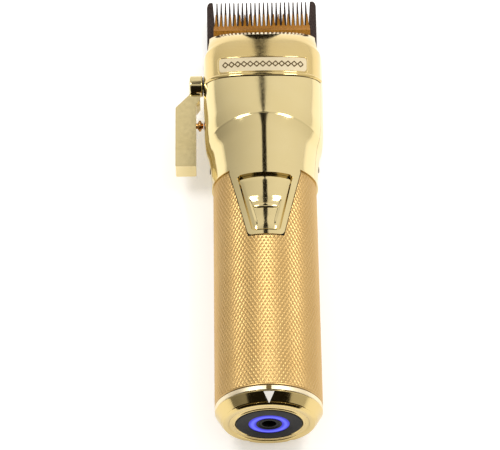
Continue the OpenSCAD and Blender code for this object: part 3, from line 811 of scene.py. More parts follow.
@dataclass
class Tongue:
    """The frame that the front housing sends down over the grip, with the slider's opening."""

    neck_y: float
    radius: float
    length: float
    top: float = 13.6
    bottom: float = 6.7
    straight: float = 1.5
    corner: float = 1.3
    hole_corner: float = 0.9
    hole_foot: float = 1.6
    hole_head: float = 3.7
    hole_top: float = 10.8
    hole_bottom: float = 5.4
    legs: int = 5
    across: int = 18

    def outer(self, y: np.ndarray) -> np.ndarray:
        """Gives the half width of the frame at a station."""
        low, high = self.neck_y - self.length, self.neck_y - self.straight
        return np.interp(y, [low, high], [self.bottom, self.top])

    def inner(self, y: np.ndarray) -> np.ndarray:
        """Gives the half width of the opening at a station."""
        low, high = self.neck_y - self.length + self.hole_foot, self.neck_y - self.hole_head
        share = (y - low) / (high - low)
        return self.hole_bottom + (self.hole_top - self.hole_bottom) * share

    def weights(self) -> tuple[np.ndarray, np.ndarray]:
        """Gives each column's share of the outer and of the inner half width.

        Returns:
            The two shares, from the right edge to the left.
        """
        leg = np.linspace(0, 1, self.legs + 1)
        hole = np.linspace(1, -1, self.across + 1)[1:-1]
        outer = np.concatenate([1 - leg, np.zeros(len(hole)), leg[::-1] - 1])
        inner = np.concatenate([leg, hole, -leg[::-1]])
        return outer, inner

    def points(self) -> np.ndarray:
        """Lays out the frame as rows from its foot to the neck.

        Returns:
            The points, by row and column. The opening lies between the first and third groups.
        """
        outer, inner = self.weights()
        foot = self.neck_y - self.length
        hole_low, hole_high = foot + self.hole_foot, self.neck_y - self.hole_head
        at_foot = np.abs(outer * self.outer(foot) + inner * self.inner(foot))
        bottom = foot + self.rise(at_foot - self.bottom + self.corner, self.corner)
        low = hole_low + self.rise(np.abs(inner) * self.hole_bottom + self.hole_corner - self.hole_bottom
                                   + np.abs(outer), self.hole_corner)
        high = hole_high - self.rise(np.abs(inner) * self.hole_top + self.hole_corner - self.hole_top
                                     + np.abs(outer), self.hole_corner)
        neck = np.full(len(outer), self.neck_y)
        rows = [bottom + (low - bottom) * t for t in np.linspace(0, 1, 4)]
        rows += [low + (high - low) * t for t in np.linspace(0, 1, 25)[1:]]
        rows += [high + (neck - high) * t for t in np.linspace(0, 1, 6)[1:]]
        y = np.array(rows)
        x = outer * self.outer(y) + inner * self.inner(y)
        radius = self.radius - 0.1 * (self.neck_y - y) / self.length
        return on_tube(x, y, radius)

    def in_hole(self, row: int, column: int) -> bool:
        """Tells whether a face of the frame lies in the opening."""
        return 3 <= row < 27 and self.legs <= column < self.legs + self.across

    @staticmethod
    def rise(over: np.ndarray, radius: float) -> np.ndarray:
        """Gives how far a rounded corner lifts an edge, by distance past the round's start."""
        past = np.clip(over, 0, radius)
        return radius - np.sqrt(radius ** 2 - past ** 2)


@dataclass
class Head:
    """The polished shells of the head and the plates on them."""

    skin: HeadSkin
    tongue: Tongue
    wall: float = 1.6
    split: float = 20.0
    gap: float = 0.4
    side_columns: int = 18
    label_span: tuple[float, float] = (49.0, 131.0)
    label_u: tuple[float, float] = (2.1, 11.8)
    label_corner: float = 1.6
    rim_bead: tuple[float, float] = (0.5, 0.42)
    rim_step: float = 0.22
    lozenges: int = 13
    lozenge: tuple[float, float] = (1.42, 2.1)
    inlay_rise: float = 0.33

    def build(self) -> None:
        """Builds every piece of the head."""
        dress(self.front_housing(), "housing", "polished_gold", "front_housing")
        dress(self.front_cover(), "housing", "polished_gold_deep", "front_cover")
        dress(self.rear_housing(), "housing", "polished_gold", "rear_housing")
        dress(self.label_plate(), "housing", "satin_champagne", "label_plate")
        dress(self.label_rim(), "housing", "polished_gold_deep")
        dress(self.label_ornament(), "housing", "dark_bronze")
        dress(self.rating_plate(), "housing", "satin_champagne", "rating_plate")

    def front_housing(self) -> Piece:
        """Builds the front shell with its tongue.

        Returns:
            The piece.
        """
        start = math.radians(self.split + self.gap)
        outer, inner = self.tongue.weights()
        x = outer * self.tongue.outer(self.skin.neck_y) + inner * self.tongue.inner(self.skin.neck_y)
        middle = np.arccos(x / self.skin.neck_r)
        side = np.linspace(start, middle[0], self.side_columns + 1)[:-1]
        angle = np.concatenate([side, middle, math.pi - side[::-1]])
        crease, seam = self.skin.crease(angle), self.skin.seam(angle)
        rows = [(crease - 1.2) * t for t in np.linspace(0, 1, 24)]
        rows += [crease + off for off in (-1.0, -0.8, -0.65, -0.5, -0.35, -0.2, -0.05, 0.1, 0.3, 0.6, 0.9)]
        rows += [crease + 1.2 + (seam - crease - 1.2) * t for t in np.linspace(0, 1, 30)]
        shell = self.skin.at(angle[None, :], np.array(rows))
        tongue = self.tongue.points()
        faces = grid_faces(*shell.shape[:2])
        faces += grid_faces(*tongue.shape[:2], start=shell[..., 0].size, hole=self.tongue.in_hole)
        points = np.concatenate([shell.reshape(-1, 3), tongue.reshape(-1, 3)])
        return soften(thicken(edit(make_object("front_housing_shell", points, faces), weld), self.wall), 0.28)

    def front_cover(self) -> Piece:
        """Builds the cover that rolls over at the lip.

        Returns:
            The piece.
        """
        start = math.radians(self.split + self.gap)
        angle = np.linspace(start, math.pi - start, 120)
        low = self.skin.seam(angle) + 0.3
        steps = np.concatenate([np.linspace(0, 2.4, 16), np.linspace(2.4, 29.2, 60)[1:]])[:, None]
        u = low + (self.skin.lip_u - low) * steps / steps[-1]
        roll = 0.5 * np.sin(np.pi * np.clip(steps / 1.9, 0, 1)) ** 0.7 + 0.12
        points = self.skin.at(angle[None, :], u, -roll * np.ones(u.shape))
        return soften(sheet("front_cover_shell", points, self.wall), 0.32)

    def rear_housing(self) -> Piece:
        """Builds the rear shell, with counterbores for its two screws.

        Returns:
            The piece.
        """
        angle = np.radians(np.linspace(180 - self.split, 360 + self.split, 180))
        u = np.linspace(0, self.skin.head_len, 80)[:, None]
        points = self.skin.at(angle[None, :], u)
        shell = bake(sheet("rear_housing_shell", points, self.wall))
        low, high = box("housing_screws")
        for y in (low[1] + 2.4, high[1] - 2.4):
            hole = rounded([(2.5, low[2] - 2), (2.5, low[2] + 0.9), (0, low[2] + 0.9), (0, low[2] - 2)], 0.01)
            cut(shell, lathe("counterbore", hole, Axis.Z, (0, y), 48))
        return soften(shell, 0.25)

    def label_patch(self, edges: float, height: float) -> np.ndarray:
        """Lays out a patch of the skin inside the label's outline.

        Args:
            edges: How far inside the outline the patch ends.
            height: How far the patch stands out.

        Returns:
            The points.
        """
        wide = self.skin.side_w
        low, high = (math.radians(a) for a in self.label_span)
        angle = np.linspace(low + edges / wide, high - edges / wide, 90)[None, :]
        u0, u1 = self.label_u[0] + edges, self.label_u[1] - edges
        across = np.linspace(0, 1, 16)[:, None]
        corner = self.label_corner
        past = np.clip(np.minimum(angle - angle[0, 0], angle[0, -1] - angle) * wide, 0, corner)
        squeeze = corner - np.sqrt(corner ** 2 - (corner - past) ** 2)
        u = self.skin.seam(angle) + u0 + squeeze + (u1 - u0 - 2 * squeeze) * across
        return self.skin.at(angle, u, -height)

    def label_plate(self) -> Piece:
        """Builds the satin plate that sits in the cover's rim.

        Returns:
            The piece.
        """
        return soften(sheet("label_plate_panel", self.label_patch(0.9, 0.32), 0.3), 0.1)

    def label_rim(self) -> Piece:
        """Builds the polished bead round the label plate.

        Returns:
            The piece.
        """
        patch = self.label_patch(0.35, 0.0)
        path = np.concatenate([patch[0], patch[1:-1, -1], patch[-1, ::-1], patch[-2:0:-1, 0]])
        keep = [0]
        for k in range(1, len(path)):
            if np.linalg.norm(path[k] - path[keep[-1]]) > self.rim_step:
                keep.append(k)
        path = path[keep]
        ahead = np.roll(path, -1, 0) - np.roll(path, 1, 0)
        ahead /= np.linalg.norm(ahead, axis=1)[:, None]
        out = np.column_stack([path[:, 0] * 0.55, np.zeros(len(path)), np.full(len(path), self.skin.seam_z)])
        out /= np.linalg.norm(out, axis=1)[:, None]
        side = np.cross(ahead, out)
        turn = np.linspace(0, 2 * math.pi, 12, endpoint=False)[None, :, None]
        wide, rise = self.rim_bead
        points = path[:, None] + wide * np.cos(turn) * side[:, None] + (rise * np.sin(turn)) * out[:, None]
        bead = make_object("label_rim_bead", points, grid_faces(len(path), 12, ring=True, loop=True))
        edit(bead, close_up).data.shade_smooth()
        return bead

    def label_ornament(self) -> Piece:
        """Builds a row of inlaid lozenge rings along the label plate.

        Returns:
            The piece.
        """
        points, faces = [], []
        turn = np.radians(np.linspace(*self.label_span, 400))
        middle = sum(self.label_u) / 2
        spread = self.skin.at(turn, self.skin.seam(turn) + middle)[:, 0]
        end = spread[0] - 3.0
        half, tall = self.lozenge
        section = ((1.0, -0.15), (1.0, 0.02), (0.94, 0.07), (0.62, 0.07), (0.56, 0.02), (0.56, -0.15))
        for x in np.linspace(-end, end, self.lozenges):
            angle = float(np.interp(-x, -spread, turn))
            u = float(self.skin.seam(angle)) + middle
            here = self.skin.at(angle, u, -self.inlay_rise)
            along = self.skin.at(angle + 0.01, u, -self.inlay_rise) - here
            along /= np.linalg.norm(along)
            up = self.skin.at(angle, u + 0.1, -self.inlay_rise) - here
            up /= np.linalg.norm(up)
            out = np.cross(up, along)
            out *= np.sign(out[2])
            start = len(points)
            for size, height in section:
                wide, high = half * size, tall * size
                corners = rounded([(wide, 0), (0, high), (-wide, 0), (0, -high)], 0.4)
                points += [here + a * along + b * up + height * out for a, b in corners]
            count = (len(points) - start) // len(section)
            faces += grid_faces(len(section), count, start, ring=True, loop=True)
        piece = edit(make_object("label_ornament_lozenges", np.array(points), faces), close_up)
        return soften(piece, 0.03, 2)

    def rating_plate(self) -> Piece:
        """Builds the plate on the back, with a shallow panel in its face.

        Returns:
            The piece.
        """
        low, high = box("rating_plate")
        outline = rounded([(low[0], low[1]), (high[0], low[1]), (high[0], high[1]), (low[0], high[1])], 2.0)
        plate = prism("rating_plate_blank", outline, low[2], high[2])

        def panel(mesh: Mesh) -> None:
            """Sinks a panel into the lower face."""
            face = min(mesh.faces, key=lambda f: f.calc_center_median().z)
            bmesh.ops.inset_region(mesh, faces=[face], thickness=1.1 * MM)
            bmesh.ops.inset_region(mesh, faces=[face], thickness=0.15 * MM, depth=-0.12 * MM)

        return soften(edit(plate, panel), 0.08)


# ---------------------------------------------------------------- grip and base


@dataclass
class Grip:
    """The knurled sleeve and the trim ring below it.

    The diamonds are drawn somewhat coarser than a real knurl's, so that they show from afar.
    """

    radius: float
    low: float
    high: float
    tongue: Tongue
    across: int = 80
    diamond: float = 2.59
    depth: float = 0.16
    flat: float = 0.34
    plain: float = 0.8
    wall: float = 1.1

    def build(self) -> None:
        """Builds the sleeve and the ring."""
        dress(self.sleeve(), "housing", "knurled_gold", "grip_sleeve")
        dress(self.trim(), "housing", "satin_champagne", "trim_ring")

    def sleeve(self) -> Piece:
        """Cuts the diamond knurl, its plain ends and the notch for the tongue.

        Returns:
            The piece.
        """
        steps = 2 * self.across
        rows = int(math.ceil((self.high - self.low) / self.diamond * 2)) + 3
        turn = 2 * math.pi / steps

        def place(i: float, j: float, radius: float) -> tuple[float, float, float]:
            """Gives a point of the lattice."""
            y = self.low + (j - 1) * self.diamond / 2
            return radius * math.cos(i * turn), y, radius * math.sin(i * turn)

        points = [place(i, j, self.radius - self.depth) for j in range(rows) for i in range(steps)]
        faces = []
        for j in range(1, rows - 1):
            for i in range(j % 2, steps, 2):
                corner = [j * steps + (i + 1) % steps, (j - 1) * steps + i,
                          j * steps + (i - 1) % steps, (j + 1) * steps + i]
                top = [len(points) + k for k in range(4)]
                points += [place(i + self.flat, j, self.radius), place(i, j - self.flat, self.radius),
                           place(i - self.flat, j, self.radius), place(i, j + self.flat, self.radius)]
                faces.append(tuple(top))
                faces += [(corner[k], corner[(k + 1) % 4], top[(k + 1) % 4], top[k]) for k in range(4)]
        knurl = edit(make_object("knurl", np.array(points), faces), self.trim_knurl)
        bands = [self.band("low_band", self.low, 1.0), self.band("high_band", self.high, -1.0)]
        sleeve = edit(join("knurled_grip_sleeve", knurl, *bands), self.notch)
        thicken(sleeve, self.wall)
        return sleeve

    def trim_knurl(self, mesh: Mesh) -> None:
        """Cuts the lattice square at both ends and drops its loose points."""
        for y, way in ((self.low + self.plain, -1.0), (self.high - self.plain, 1.0)):
            slice_at(mesh, y, way, drop=True)
        bmesh.ops.delete(mesh, geom=[v for v in mesh.verts if not v.link_faces], context="VERTS")

    def band(self, name: str, end: float, way: float) -> Piece:
        """Turns the plain band at one end of the knurl.

        Args:
            name: The band's name.
            end: The station of the sleeve's end.
            way: 1 where the band grows towards +Y, -1 where it grows the other way.

        Returns:
            The band, as a sheet.
        """
        profile = [(-0.45, 0.0), (-0.12, 0.08), (-0.02, 0.25), (-0.02, self.plain - 0.16),
                   (-self.depth, self.plain + 0.02)]
        turn = np.linspace(0, 2 * math.pi, 160, endpoint=False)
        rows = sorted((end + way * along, self.radius + drop) for drop, along in profile)
        points = np.array([[(r * math.cos(t), y, r * math.sin(t)) for t in turn] for y, r in rows])
        return make_object(name, points, grid_faces(len(rows), len(turn), ring=True))

    def notch(self, mesh: Mesh) -> None:
        """Cuts the opening for the tongue, a hair wider than the tongue."""
        gap = 0.15
        foot = self.tongue.neck_y - self.tongue.length
        shoulder = self.tongue.neck_y - self.tongue.straight
        run = Vector((self.tongue.top - self.tongue.bottom, shoulder - foot))
        lean = run.normalized()
        planes = [((0, foot - gap), (0, -1))]
        for side in (-1, 1):
            planes.append(((side * (self.tongue.bottom + gap), foot), (side * lean.y, -lean.x)))
            planes.append(((side * (self.tongue.top + gap), shoulder), (side, 0)))
        for place, away in planes:
            front = [f for f in mesh.faces if f.calc_center_median().z > 0]
            near = {e for f in front for e in f.edges} | {v for f in front for v in f.verts} | set(front)
            bmesh.ops.bisect_plane(mesh, geom=list(near), plane_co=(place[0] * MM, place[1] * MM, 0),
                                   plane_no=(away[0], away[1], 0))

        def inside(face: bmesh.types.BMFace) -> bool:
            """Tells whether a face lies in the notch."""
            middle = face.calc_center_median()
            return middle.z > 0 and all(
                (middle.x / MM - place[0]) * away[0] + (middle.y / MM - place[1]) * away[1] < 0
                for place, away in planes)

        gone = [f for f in mesh.faces if inside(f)]
        bmesh.ops.delete(mesh, geom=gone, context="FACES")

    def trim(self) -> Piece:
        """Turns the trim ring, with a crowned face and softened corners.

        Returns:
            The piece.
        """
        low, high = box("trim_ring")
        outer, inner = high[0], box("cap_ring")[1][0] - 3.4
        crown = [(outer - 0.25, low[1]), (outer - 0.04, low[1] + 0.22), (outer, (low[1] + high[1]) / 2),
                 (outer - 0.04, high[1] - 0.22), (outer - 0.25, high[1])]
        return soften(lathe("satin_trim_ring", crown + [(inner, high[1]), (inner, low[1])]), 0.08)


@dataclass
class Base:
    """The conical cap, the black disc and the light ring at the foot of the clipper."""

    notches: tuple[float, ...] = (241.0, 299.0)
    taper: float = 2.9
    disc_border: float = 4.7
    light_width: float = 2.8
    fit: float = 0.15

    def build(self) -> None:
        """Builds the cap, the disc and the light."""
        dress(self.cap(), "cap", "polished_gold_deep", "cap_ring")
        dress(self.arrow(), "cap", "white_enamel", "cap_arrow")
        dress(self.mark(), "housing", "dark_bronze", "index_mark")
        dress(self.disc(), "battery", "black_abs", "base_disc")
        dress(self.light(), "battery", "blue_light", "led_ring")

    def cap(self) -> Piece:
        """Turns the cap, with a fine groove near its rim and two finger notches at the back.

        Returns:
            The piece.
        """
        high = box("cap_ring")[1]
        battery = box("battery_tube")[1][0] + 0.3
        hole = box("led_ring")[1][0] + self.disc_border + self.fit
        rim, top, height = high[0] - self.taper, high[0], high[1]
        lean = (top - rim) / height
        lip = [(hole, 0.3), (hole + 0.22, 0.05), (hole + 0.5, 0.0), (hole + 0.75, 0.08), (hole + 0.95, 0.3)]
        dish = [(hole + 2.3, 0.34), (hole + 2.55, 0.1), (hole + 2.8, 0.0),
                (rim - 0.5, 0.0), (rim - 0.2, 0.06)]
        groove = [(rim + 0.02, 0.3), (rim + lean * 0.75, 0.75), (rim + lean * 0.8 - 0.16, 0.86),
                  (rim + lean * 1.0 - 0.16, 0.98), (rim + lean * 1.1, 1.1), (rim + lean * 1.2, 1.2)]
        edge = [(top - lean * 0.3, height - 0.3), (top - lean * 0.2, height - 0.2), (top - 0.1, height)]
        bore = [(battery, height), (battery, 1.6), (hole, 1.6)]
        profile = lip + dish + groove + edge + bore
        cap = lathe("polished_cap_ring", profile, steps=240)
        for angle in self.notches:
            spin = math.radians(angle)
            place = ((rim + 1.6) * math.cos(spin), (rim + 1.6) * math.sin(spin))
            outline = [(2.4, -1.0), (2.4, 0.7), (1.6, 1.3), (0, 1.5), (0, -1.0)]
            cut(cap, lathe("finger_notch", np.array(outline), Axis.Y, place, 40))
        return soften(cap, 0.07, 2, 30)

    def arrow(self) -> Piece:
        """Builds the enamel arrow that points to the rim, laid on the cone.

        Returns:
            The piece.
        """
        high = box("cap_ring")[1]
        half, tip, foot = 2.0, 0.55, high[1] - 0.35
        share, across = np.linspace(0, 1, 9)[:, None], np.linspace(1, -1, 9)
        y = tip + (foot - tip) * share
        radius = high[0] - self.taper * (1 - y / high[1]) + 0.05
        angle = math.pi / 2 - half * (0.04 + 0.96 * share) * across / radius
        points = np.stack([radius * np.cos(angle), y + 0 * angle, radius * np.sin(angle)], -1)
        return soften(sheet("enamel_cap_arrow", points, 0.3), 0.04, 2)

    def mark(self) -> Piece:
        """Builds the pressed mark on the trim ring.

        Returns:
            The piece.
        """
        low, high = box("trim_ring")
        y = np.linspace(low[1] + 0.25, high[1] - 0.25, 5)[:, None]
        x = np.linspace(0.95, -0.95, 9)
        return soften(sheet("browned_index_mark", on_tube(x, y, high[0] + 0.03), 0.2), 0.05, 2)

    def disc(self) -> Piece:
        """Turns the black disc, with the groove of the light ring and the collar of the socket.

        Returns:
            The piece.
        """
        high = box("base_disc")[1]
        ring = box("led_ring")[1][0]
        jack = box("charge_jack")[1][0] + 0.1
        width, edge = self.light_width, ring + self.disc_border
        profile = [(jack, 0.35), (jack + 0.45, 0.12), (ring - width - 0.35, 0.0), (ring - width, 0.08),
                   (ring - width, 0.8), (ring, 0.8), (ring, 0.08), (ring + 0.35, 0.0), (edge - 0.3, 0.0),
                   (edge, 0.3), (edge, high[1] - 1.2), (high[0], high[1] - 1.2), (high[0], high[1]),
                   (jack, high[1])]
        return soften(lathe("moulded_base_disc", profile, steps=240), 0.06, 2, 30)

    def light(self) -> Piece:
        """Turns the light ring with a low dome on its face.

        Returns:
            The piece.
        """
        high = box("led_ring")[1]
        outer, width = high[0] - 0.02, self.light_width - 0.04
        dome = [(outer - width * t, 0.16 - 0.14 * math.sin(math.pi * t)) for t in np.linspace(0, 1, 9)]
        ring = lathe("light_guide_ring", dome + [(outer - width, high[1]), (outer, high[1])], steps=160)
        return soften(ring, 0.05, 2, 50)


# ---------------------------------------------------------------- switch and lever


@dataclass
class PowerSwitch:
    """The slider in the tongue, with a thumb scoop and a grip rib."""

    radius: float
    border: float = 1.15
    drop: float = 0.3
    corner: float = 1.0
    spread: float = 5.4
    rib_up: float = 10.3
    rib_half: float = 5.1
    rib_width: float = 2.1
    rib_rise: float = 0.55

    def build(self) -> None:
        """Builds the slider's cap, its rib and its flange."""
        dress(self.slider(), "switch", "polished_gold", "switch_slider")
        dress(self.rib(box("switch_slider")[0][1] + self.rib_up), "switch", "polished_gold")
        dress(self.skirt(), "switch", "polished_gold_deep")

    def slider(self) -> Piece:
        """Lays out the slider's face, with the scoop for the thumb.

        Returns:
            The piece.
        """
        low, high = box("switch_slider")
        foot, head, half_high = low[1], high[1], high[0]
        half_low = half_high - self.spread
        rib_y = foot + self.rib_up
        scoop = Profile((foot, 0.0), (foot + 2.0, -0.12), (foot + 6.5, -0.52), (rib_y, -0.5),
                        (rib_y + 2.0, -0.42), (rib_y + 4.1, -0.02), (rib_y + 4.6, 0.0), (head, 0.0))
        offsets = np.array([0.0, 0.12, 0.4, 0.8, self.border])
        inside = np.linspace(1, -1, 25)[1:-1]
        share = np.concatenate([np.ones(5), inside, -np.ones(5)])
        shift = np.concatenate([-offsets, -inside * self.border, offsets[::-1]])
        y = np.concatenate([foot + offsets, np.linspace(foot + self.border, head - self.border, 36)[1:-1],
                            head - offsets[::-1]])
        half = np.interp(y, [foot, head], [half_low, half_high])[:, None]
        x = share * half + shift
        edge = np.minimum(half - np.abs(x), np.minimum(y - foot, head - y)[:, None])
        corner = np.clip(np.abs(x) - half + self.corner, 0, self.corner)
        lift = self.corner - np.sqrt(self.corner ** 2 - corner ** 2)
        near_foot = np.clip(1 - (y - foot) / 3, 0, 1)[:, None]
        near_head = np.clip(1 - (head - y) / 3, 0, 1)[:, None]
        rows = y[:, None] + lift * (near_foot - near_head)
        inner = np.clip((half - self.border - np.abs(x)) / 0.9, 0, 1)
        height = self.radius - self.drop * (1 - np.clip(edge / self.border, 0, 1)) + scoop(y)[:, None] * inner
        return soften(sheet("power_switch_slider", on_tube(x, rows, height), 0.5), 0.14)

    def skirt(self) -> Piece:
        """Builds the thin flange that closes the opening from inside.

        Returns:
            The flange.
        """
        low, high = box("switch_slider")
        y = np.linspace(low[1] - 1.4, high[1] + 3.2, 24)[:, None]
        half = np.interp(y, [low[1], high[1]], [high[0] - self.spread, high[0]]) + 1.0
        x = half * np.linspace(1, -1, 24)
        return soften(sheet("power_switch_flange", on_tube(x, y, self.radius - 1.5), 0.35), 0.08)

    def rib(self, y: float) -> Piece:
        """Builds the rounded rib that the thumb pushes.

        Args:
            y: The station of its middle.

        Returns:
            The rib.
        """
        along = self.rib_half * np.sin(np.linspace(-math.pi / 2, math.pi / 2, 41))
        swell = np.sqrt(np.clip(1 - np.abs(along / self.rib_half) ** 5, 0, 1))
        turn = np.linspace(0, 2 * math.pi, 24, endpoint=False)
        x = np.repeat(along[:, None], len(turn), 1)
        depth = self.radius - 0.45
        rows = y + self.rib_width / 2 * swell[:, None] * np.cos(turn)
        z = np.sqrt(depth ** 2 - x ** 2) + self.rib_rise * swell[:, None] * np.sin(turn)
        points = np.stack([x, rows, z], -1)
        rib = edit(make_object("power_switch_rib", points, grid_faces(*x.shape, ring=True)), close_up)
        rib.data.shade_smooth()
        return rib


@dataclass
class TaperLever:
    """The lever on the left side, with its round hub."""

    chamfer: float = 0.95
    end_round: float = 1.5
    hub_length: float = 5.4
    arm_width: float = 8.2
    front_rise: float = 0.4

    def build(self) -> None:
        """Builds the arm and the hub."""
        low, high = box("taper_lever")
        hub = box("lever_shaft")
        axis = ((hub[0][1] + hub[1][1]) / 2, (hub[0][2] + hub[1][2]) / 2)
        hub_out = high[0] - self.hub_length
        dress(self.arm(low, high, axis, hub_out), "lever", "polished_gold", "taper_lever")
        dress(self.hub(high, axis, hub_out), "lever", "polished_gold")

    def arm(self, low: np.ndarray, high: np.ndarray, axis: tuple[float, float],
            hub_out: float) -> Piece:
        """Builds the arm with its chamfers.

        Args:
            low: The lever's lowest corner.
            high: The lever's highest corner.
            axis: The hub's axis in y and z.
            hub_out: The hub's outer end.

        Returns:
            The piece.
        """
        axis_y, axis_z = axis
        hub_r = high[2] - axis_z
        outer, inner, reach = low[0], low[0] + self.arm_width, low[1]
        hub_in = high[0]
        back, front = low[2], axis_z + self.front_rise
        outline = rounded([(hub_out, axis_y + 1.0), (hub_out, axis_y - hub_r + 0.4), (outer, axis_y - 10.0),
                           (outer, reach), (inner, reach), (inner, axis_y - 8.8),
                           (hub_in - 1.2, axis_y - 6.4), (hub_in - 1.2, axis_y + 1.0)], 0.5, 4)
        arm = prism("polished_taper_lever", outline, back, front)

        def ease(mesh: Mesh) -> None:
            """Cuts the chamfer along the inner front edge and rounds the front of the end."""
            face = [e for e in mesh.edges if all(v.co.z > (front - 0.01) * MM for v in e.verts)]
            long = [e for e in face if all(abs(v.co.x - inner * MM) < 0.05 * MM for v in e.verts)
                    and e.calc_length() > 20 * MM]
            bmesh.ops.bevel(mesh, geom=long, offset=self.chamfer * MM, segments=1, affect="EDGES")
            foot = [e for e in mesh.edges if all(abs(v.co.y - reach * MM) < 0.05 * MM for v in e.verts)
                    and all(v.co.z > (front - 0.05) * MM for v in e.verts) and e.calc_length() > 3 * MM]
            bmesh.ops.bevel(mesh, geom=foot, offset=self.end_round * MM, segments=6, affect="EDGES",
                            profile=0.5)

        return soften(edit(arm, ease), 0.22, 3, 40)

    def hub(self, high: np.ndarray, axis: tuple[float, float], hub_out: float) -> Piece:
        """Turns the hub.

        Args:
            high: The lever's highest corner.
            axis: The hub's axis in y and z.
            hub_out: The hub's outer end.

        Returns:
            The piece.
        """
        radius, hub_in = high[2] - axis[1], high[0]
        profile = [(0, hub_out), (radius - 1.1, hub_out), (radius - 0.5, hub_out + 0.12),
                   (radius - 0.14, hub_out + 0.3), (radius, hub_out + 0.6), (radius, hub_out + 0.8),
                   (radius, hub_in - 0.8), (radius, hub_in - 0.6), (radius - 0.14, hub_in - 0.3),
                   (radius - 0.5, hub_in - 0.1), (radius - 0.9, hub_in), (0, hub_in)]
        turned = lathe("polished_lever_hub", np.array(profile), Axis.X, axis, 96)
        turned.data.shade_smooth()
        return turned


# ---------------------------------------------------------------- blades


@dataclass
class Blades:
    """The comb and the cutter, in the frame of the faces that slide on each other."""

    heel_y: float
    heel_z: float
    tilt: float = math.radians(10.7)
    width: float = 45.0
    length: float = 32.2
    thickness: float = 3.1
    root: float = 21.4
    teeth: int = 22
    pitch: float = 1.745
    corner: float = 3.2
    setback: float = 5.6
    cutter_low: float = 11.0
    cutter_width: float = 39.5
    cutter_teeth: int = 20
    cutter_height: float = 4.4

    def build(self) -> None:
        """Builds both blades."""
        dress(self.comb(), "housing", "graphite_steel", "comb_blade")
        dress(self.cutter(), "cutter", "gold_steel", "cutter_blade")

    def place(self, points: np.ndarray) -> np.ndarray:
        """Tilts points from the blades' own frame and moves them to the heel."""
        x, y, z = points.T
        cos, sin = math.cos(self.tilt), math.sin(self.tilt)
        return np.column_stack([x, self.heel_y + y * cos - z * sin, self.heel_z + y * sin + z * cos])

    def comb(self) -> Piece:
        """Cuts the comb: a plate, thin teeth, two corner teeth and a ground slope under them.

        Returns:
            The piece.
        """
        half, tip, root = self.width / 2, self.length, self.root
        right = [(half, 0.9), (half, tip - 2.2), (half - 0.35, tip - 0.9), (half - 1.1, tip - 0.1),
                 (half - self.corner + 1.1, tip), (half - self.corner + 0.7, tip - 0.5),
                 (half - self.corner, root + 0.5), (half - self.corner - 0.25, root)]
        outline = [(half - 0.9, 0.0)] + right
        for k in reversed(range(self.teeth)):
            x = (k - (self.teeth - 1) / 2) * self.pitch
            outline += [(x + 0.7, root), (x + 0.62, root + 0.4), (x + 0.24, tip - 0.5), (x, tip - 0.05),
                        (x - 0.24, tip - 0.5), (x - 0.62, root + 0.4), (x - 0.7, root)]
        outline += [(-x, y) for x, y in reversed(right)] + [(-half + 0.9, 0.0)]
        slope = root - 4

        def shape(points: np.ndarray) -> np.ndarray:
            """Thins the comb from the slope's start to the tips."""
            share = np.clip((points[:, 1] - slope) / (tip - slope), 0, 1)
            points = points.copy()
            points[:, 2] *= 1 - share * (1 - 0.5 / self.thickness)
            return points

        comb = prism("ground_comb_blade", np.array(outline), -self.thickness, 0.0)
        return soften(self.shaped(comb, [slope], shape), 0.09, 2)

    def cutter(self) -> Piece:
        """Cuts the cutter: a block, thin teeth and a ground slope over them.

        Returns:
            The piece.
        """
        tip, half = self.length - self.setback, self.cutter_width / 2
        root, pitch = tip - 6, self.cutter_width / self.cutter_teeth
        outline = [(half - 0.4, self.cutter_low), (half, self.cutter_low + 0.4), (half, root)]
        for k in reversed(range(self.cutter_teeth)):
            x = (k + 0.5) * pitch - half
            outline += [(x + 0.68, root), (x + 0.58, root + 0.5), (x + 0.2, tip - 0.3), (x, tip),
                        (x - 0.2, tip - 0.3), (x - 0.58, root + 0.5), (x - 0.68, root)]
        outline += [(-half, root), (-half, self.cutter_low + 0.4), (-half + 0.4, self.cutter_low)]
        lines = [tip - 9, root]

        def shape(points: np.ndarray) -> np.ndarray:
            """Sets the height of the upper face along the cutter."""
            top = np.interp(points[:, 1], [tip - 9, root, tip], [self.cutter_height, 2.0, 0.6])
            points = points.copy()
            points[:, 2] = np.where(points[:, 2] > 1, top, points[:, 2])
            return points

        cutter = prism("ground_cutter_blade", np.array(outline), 0.05, self.cutter_height)
        return soften(self.shaped(cutter, lines, shape), 0.09, 2)

    def shaped(self, blade: Piece, lines: list[float],
               shape: Callable[[np.ndarray], np.ndarray]) -> Piece:
        """Adds edges across a blade, shapes it and puts it in place.

        Args:
            blade: The flat blade in its own frame.
            lines: Where its slope changes.
            shape: Moves its points in its own frame.

        Returns:
            The same object.
        """
        def score(mesh: Mesh) -> None:
            """Cuts an edge right across at each line."""
            for y in lines:
                slice_at(mesh, y)

        edit(blade, score)
        points = np.array([v.co for v in blade.data.vertices]) / MM
        for vertex, point in zip(blade.data.vertices, self.place(shape(points))):
            vertex.co = point * MM
        return blade


# ---------------------------------------------------------------- inside


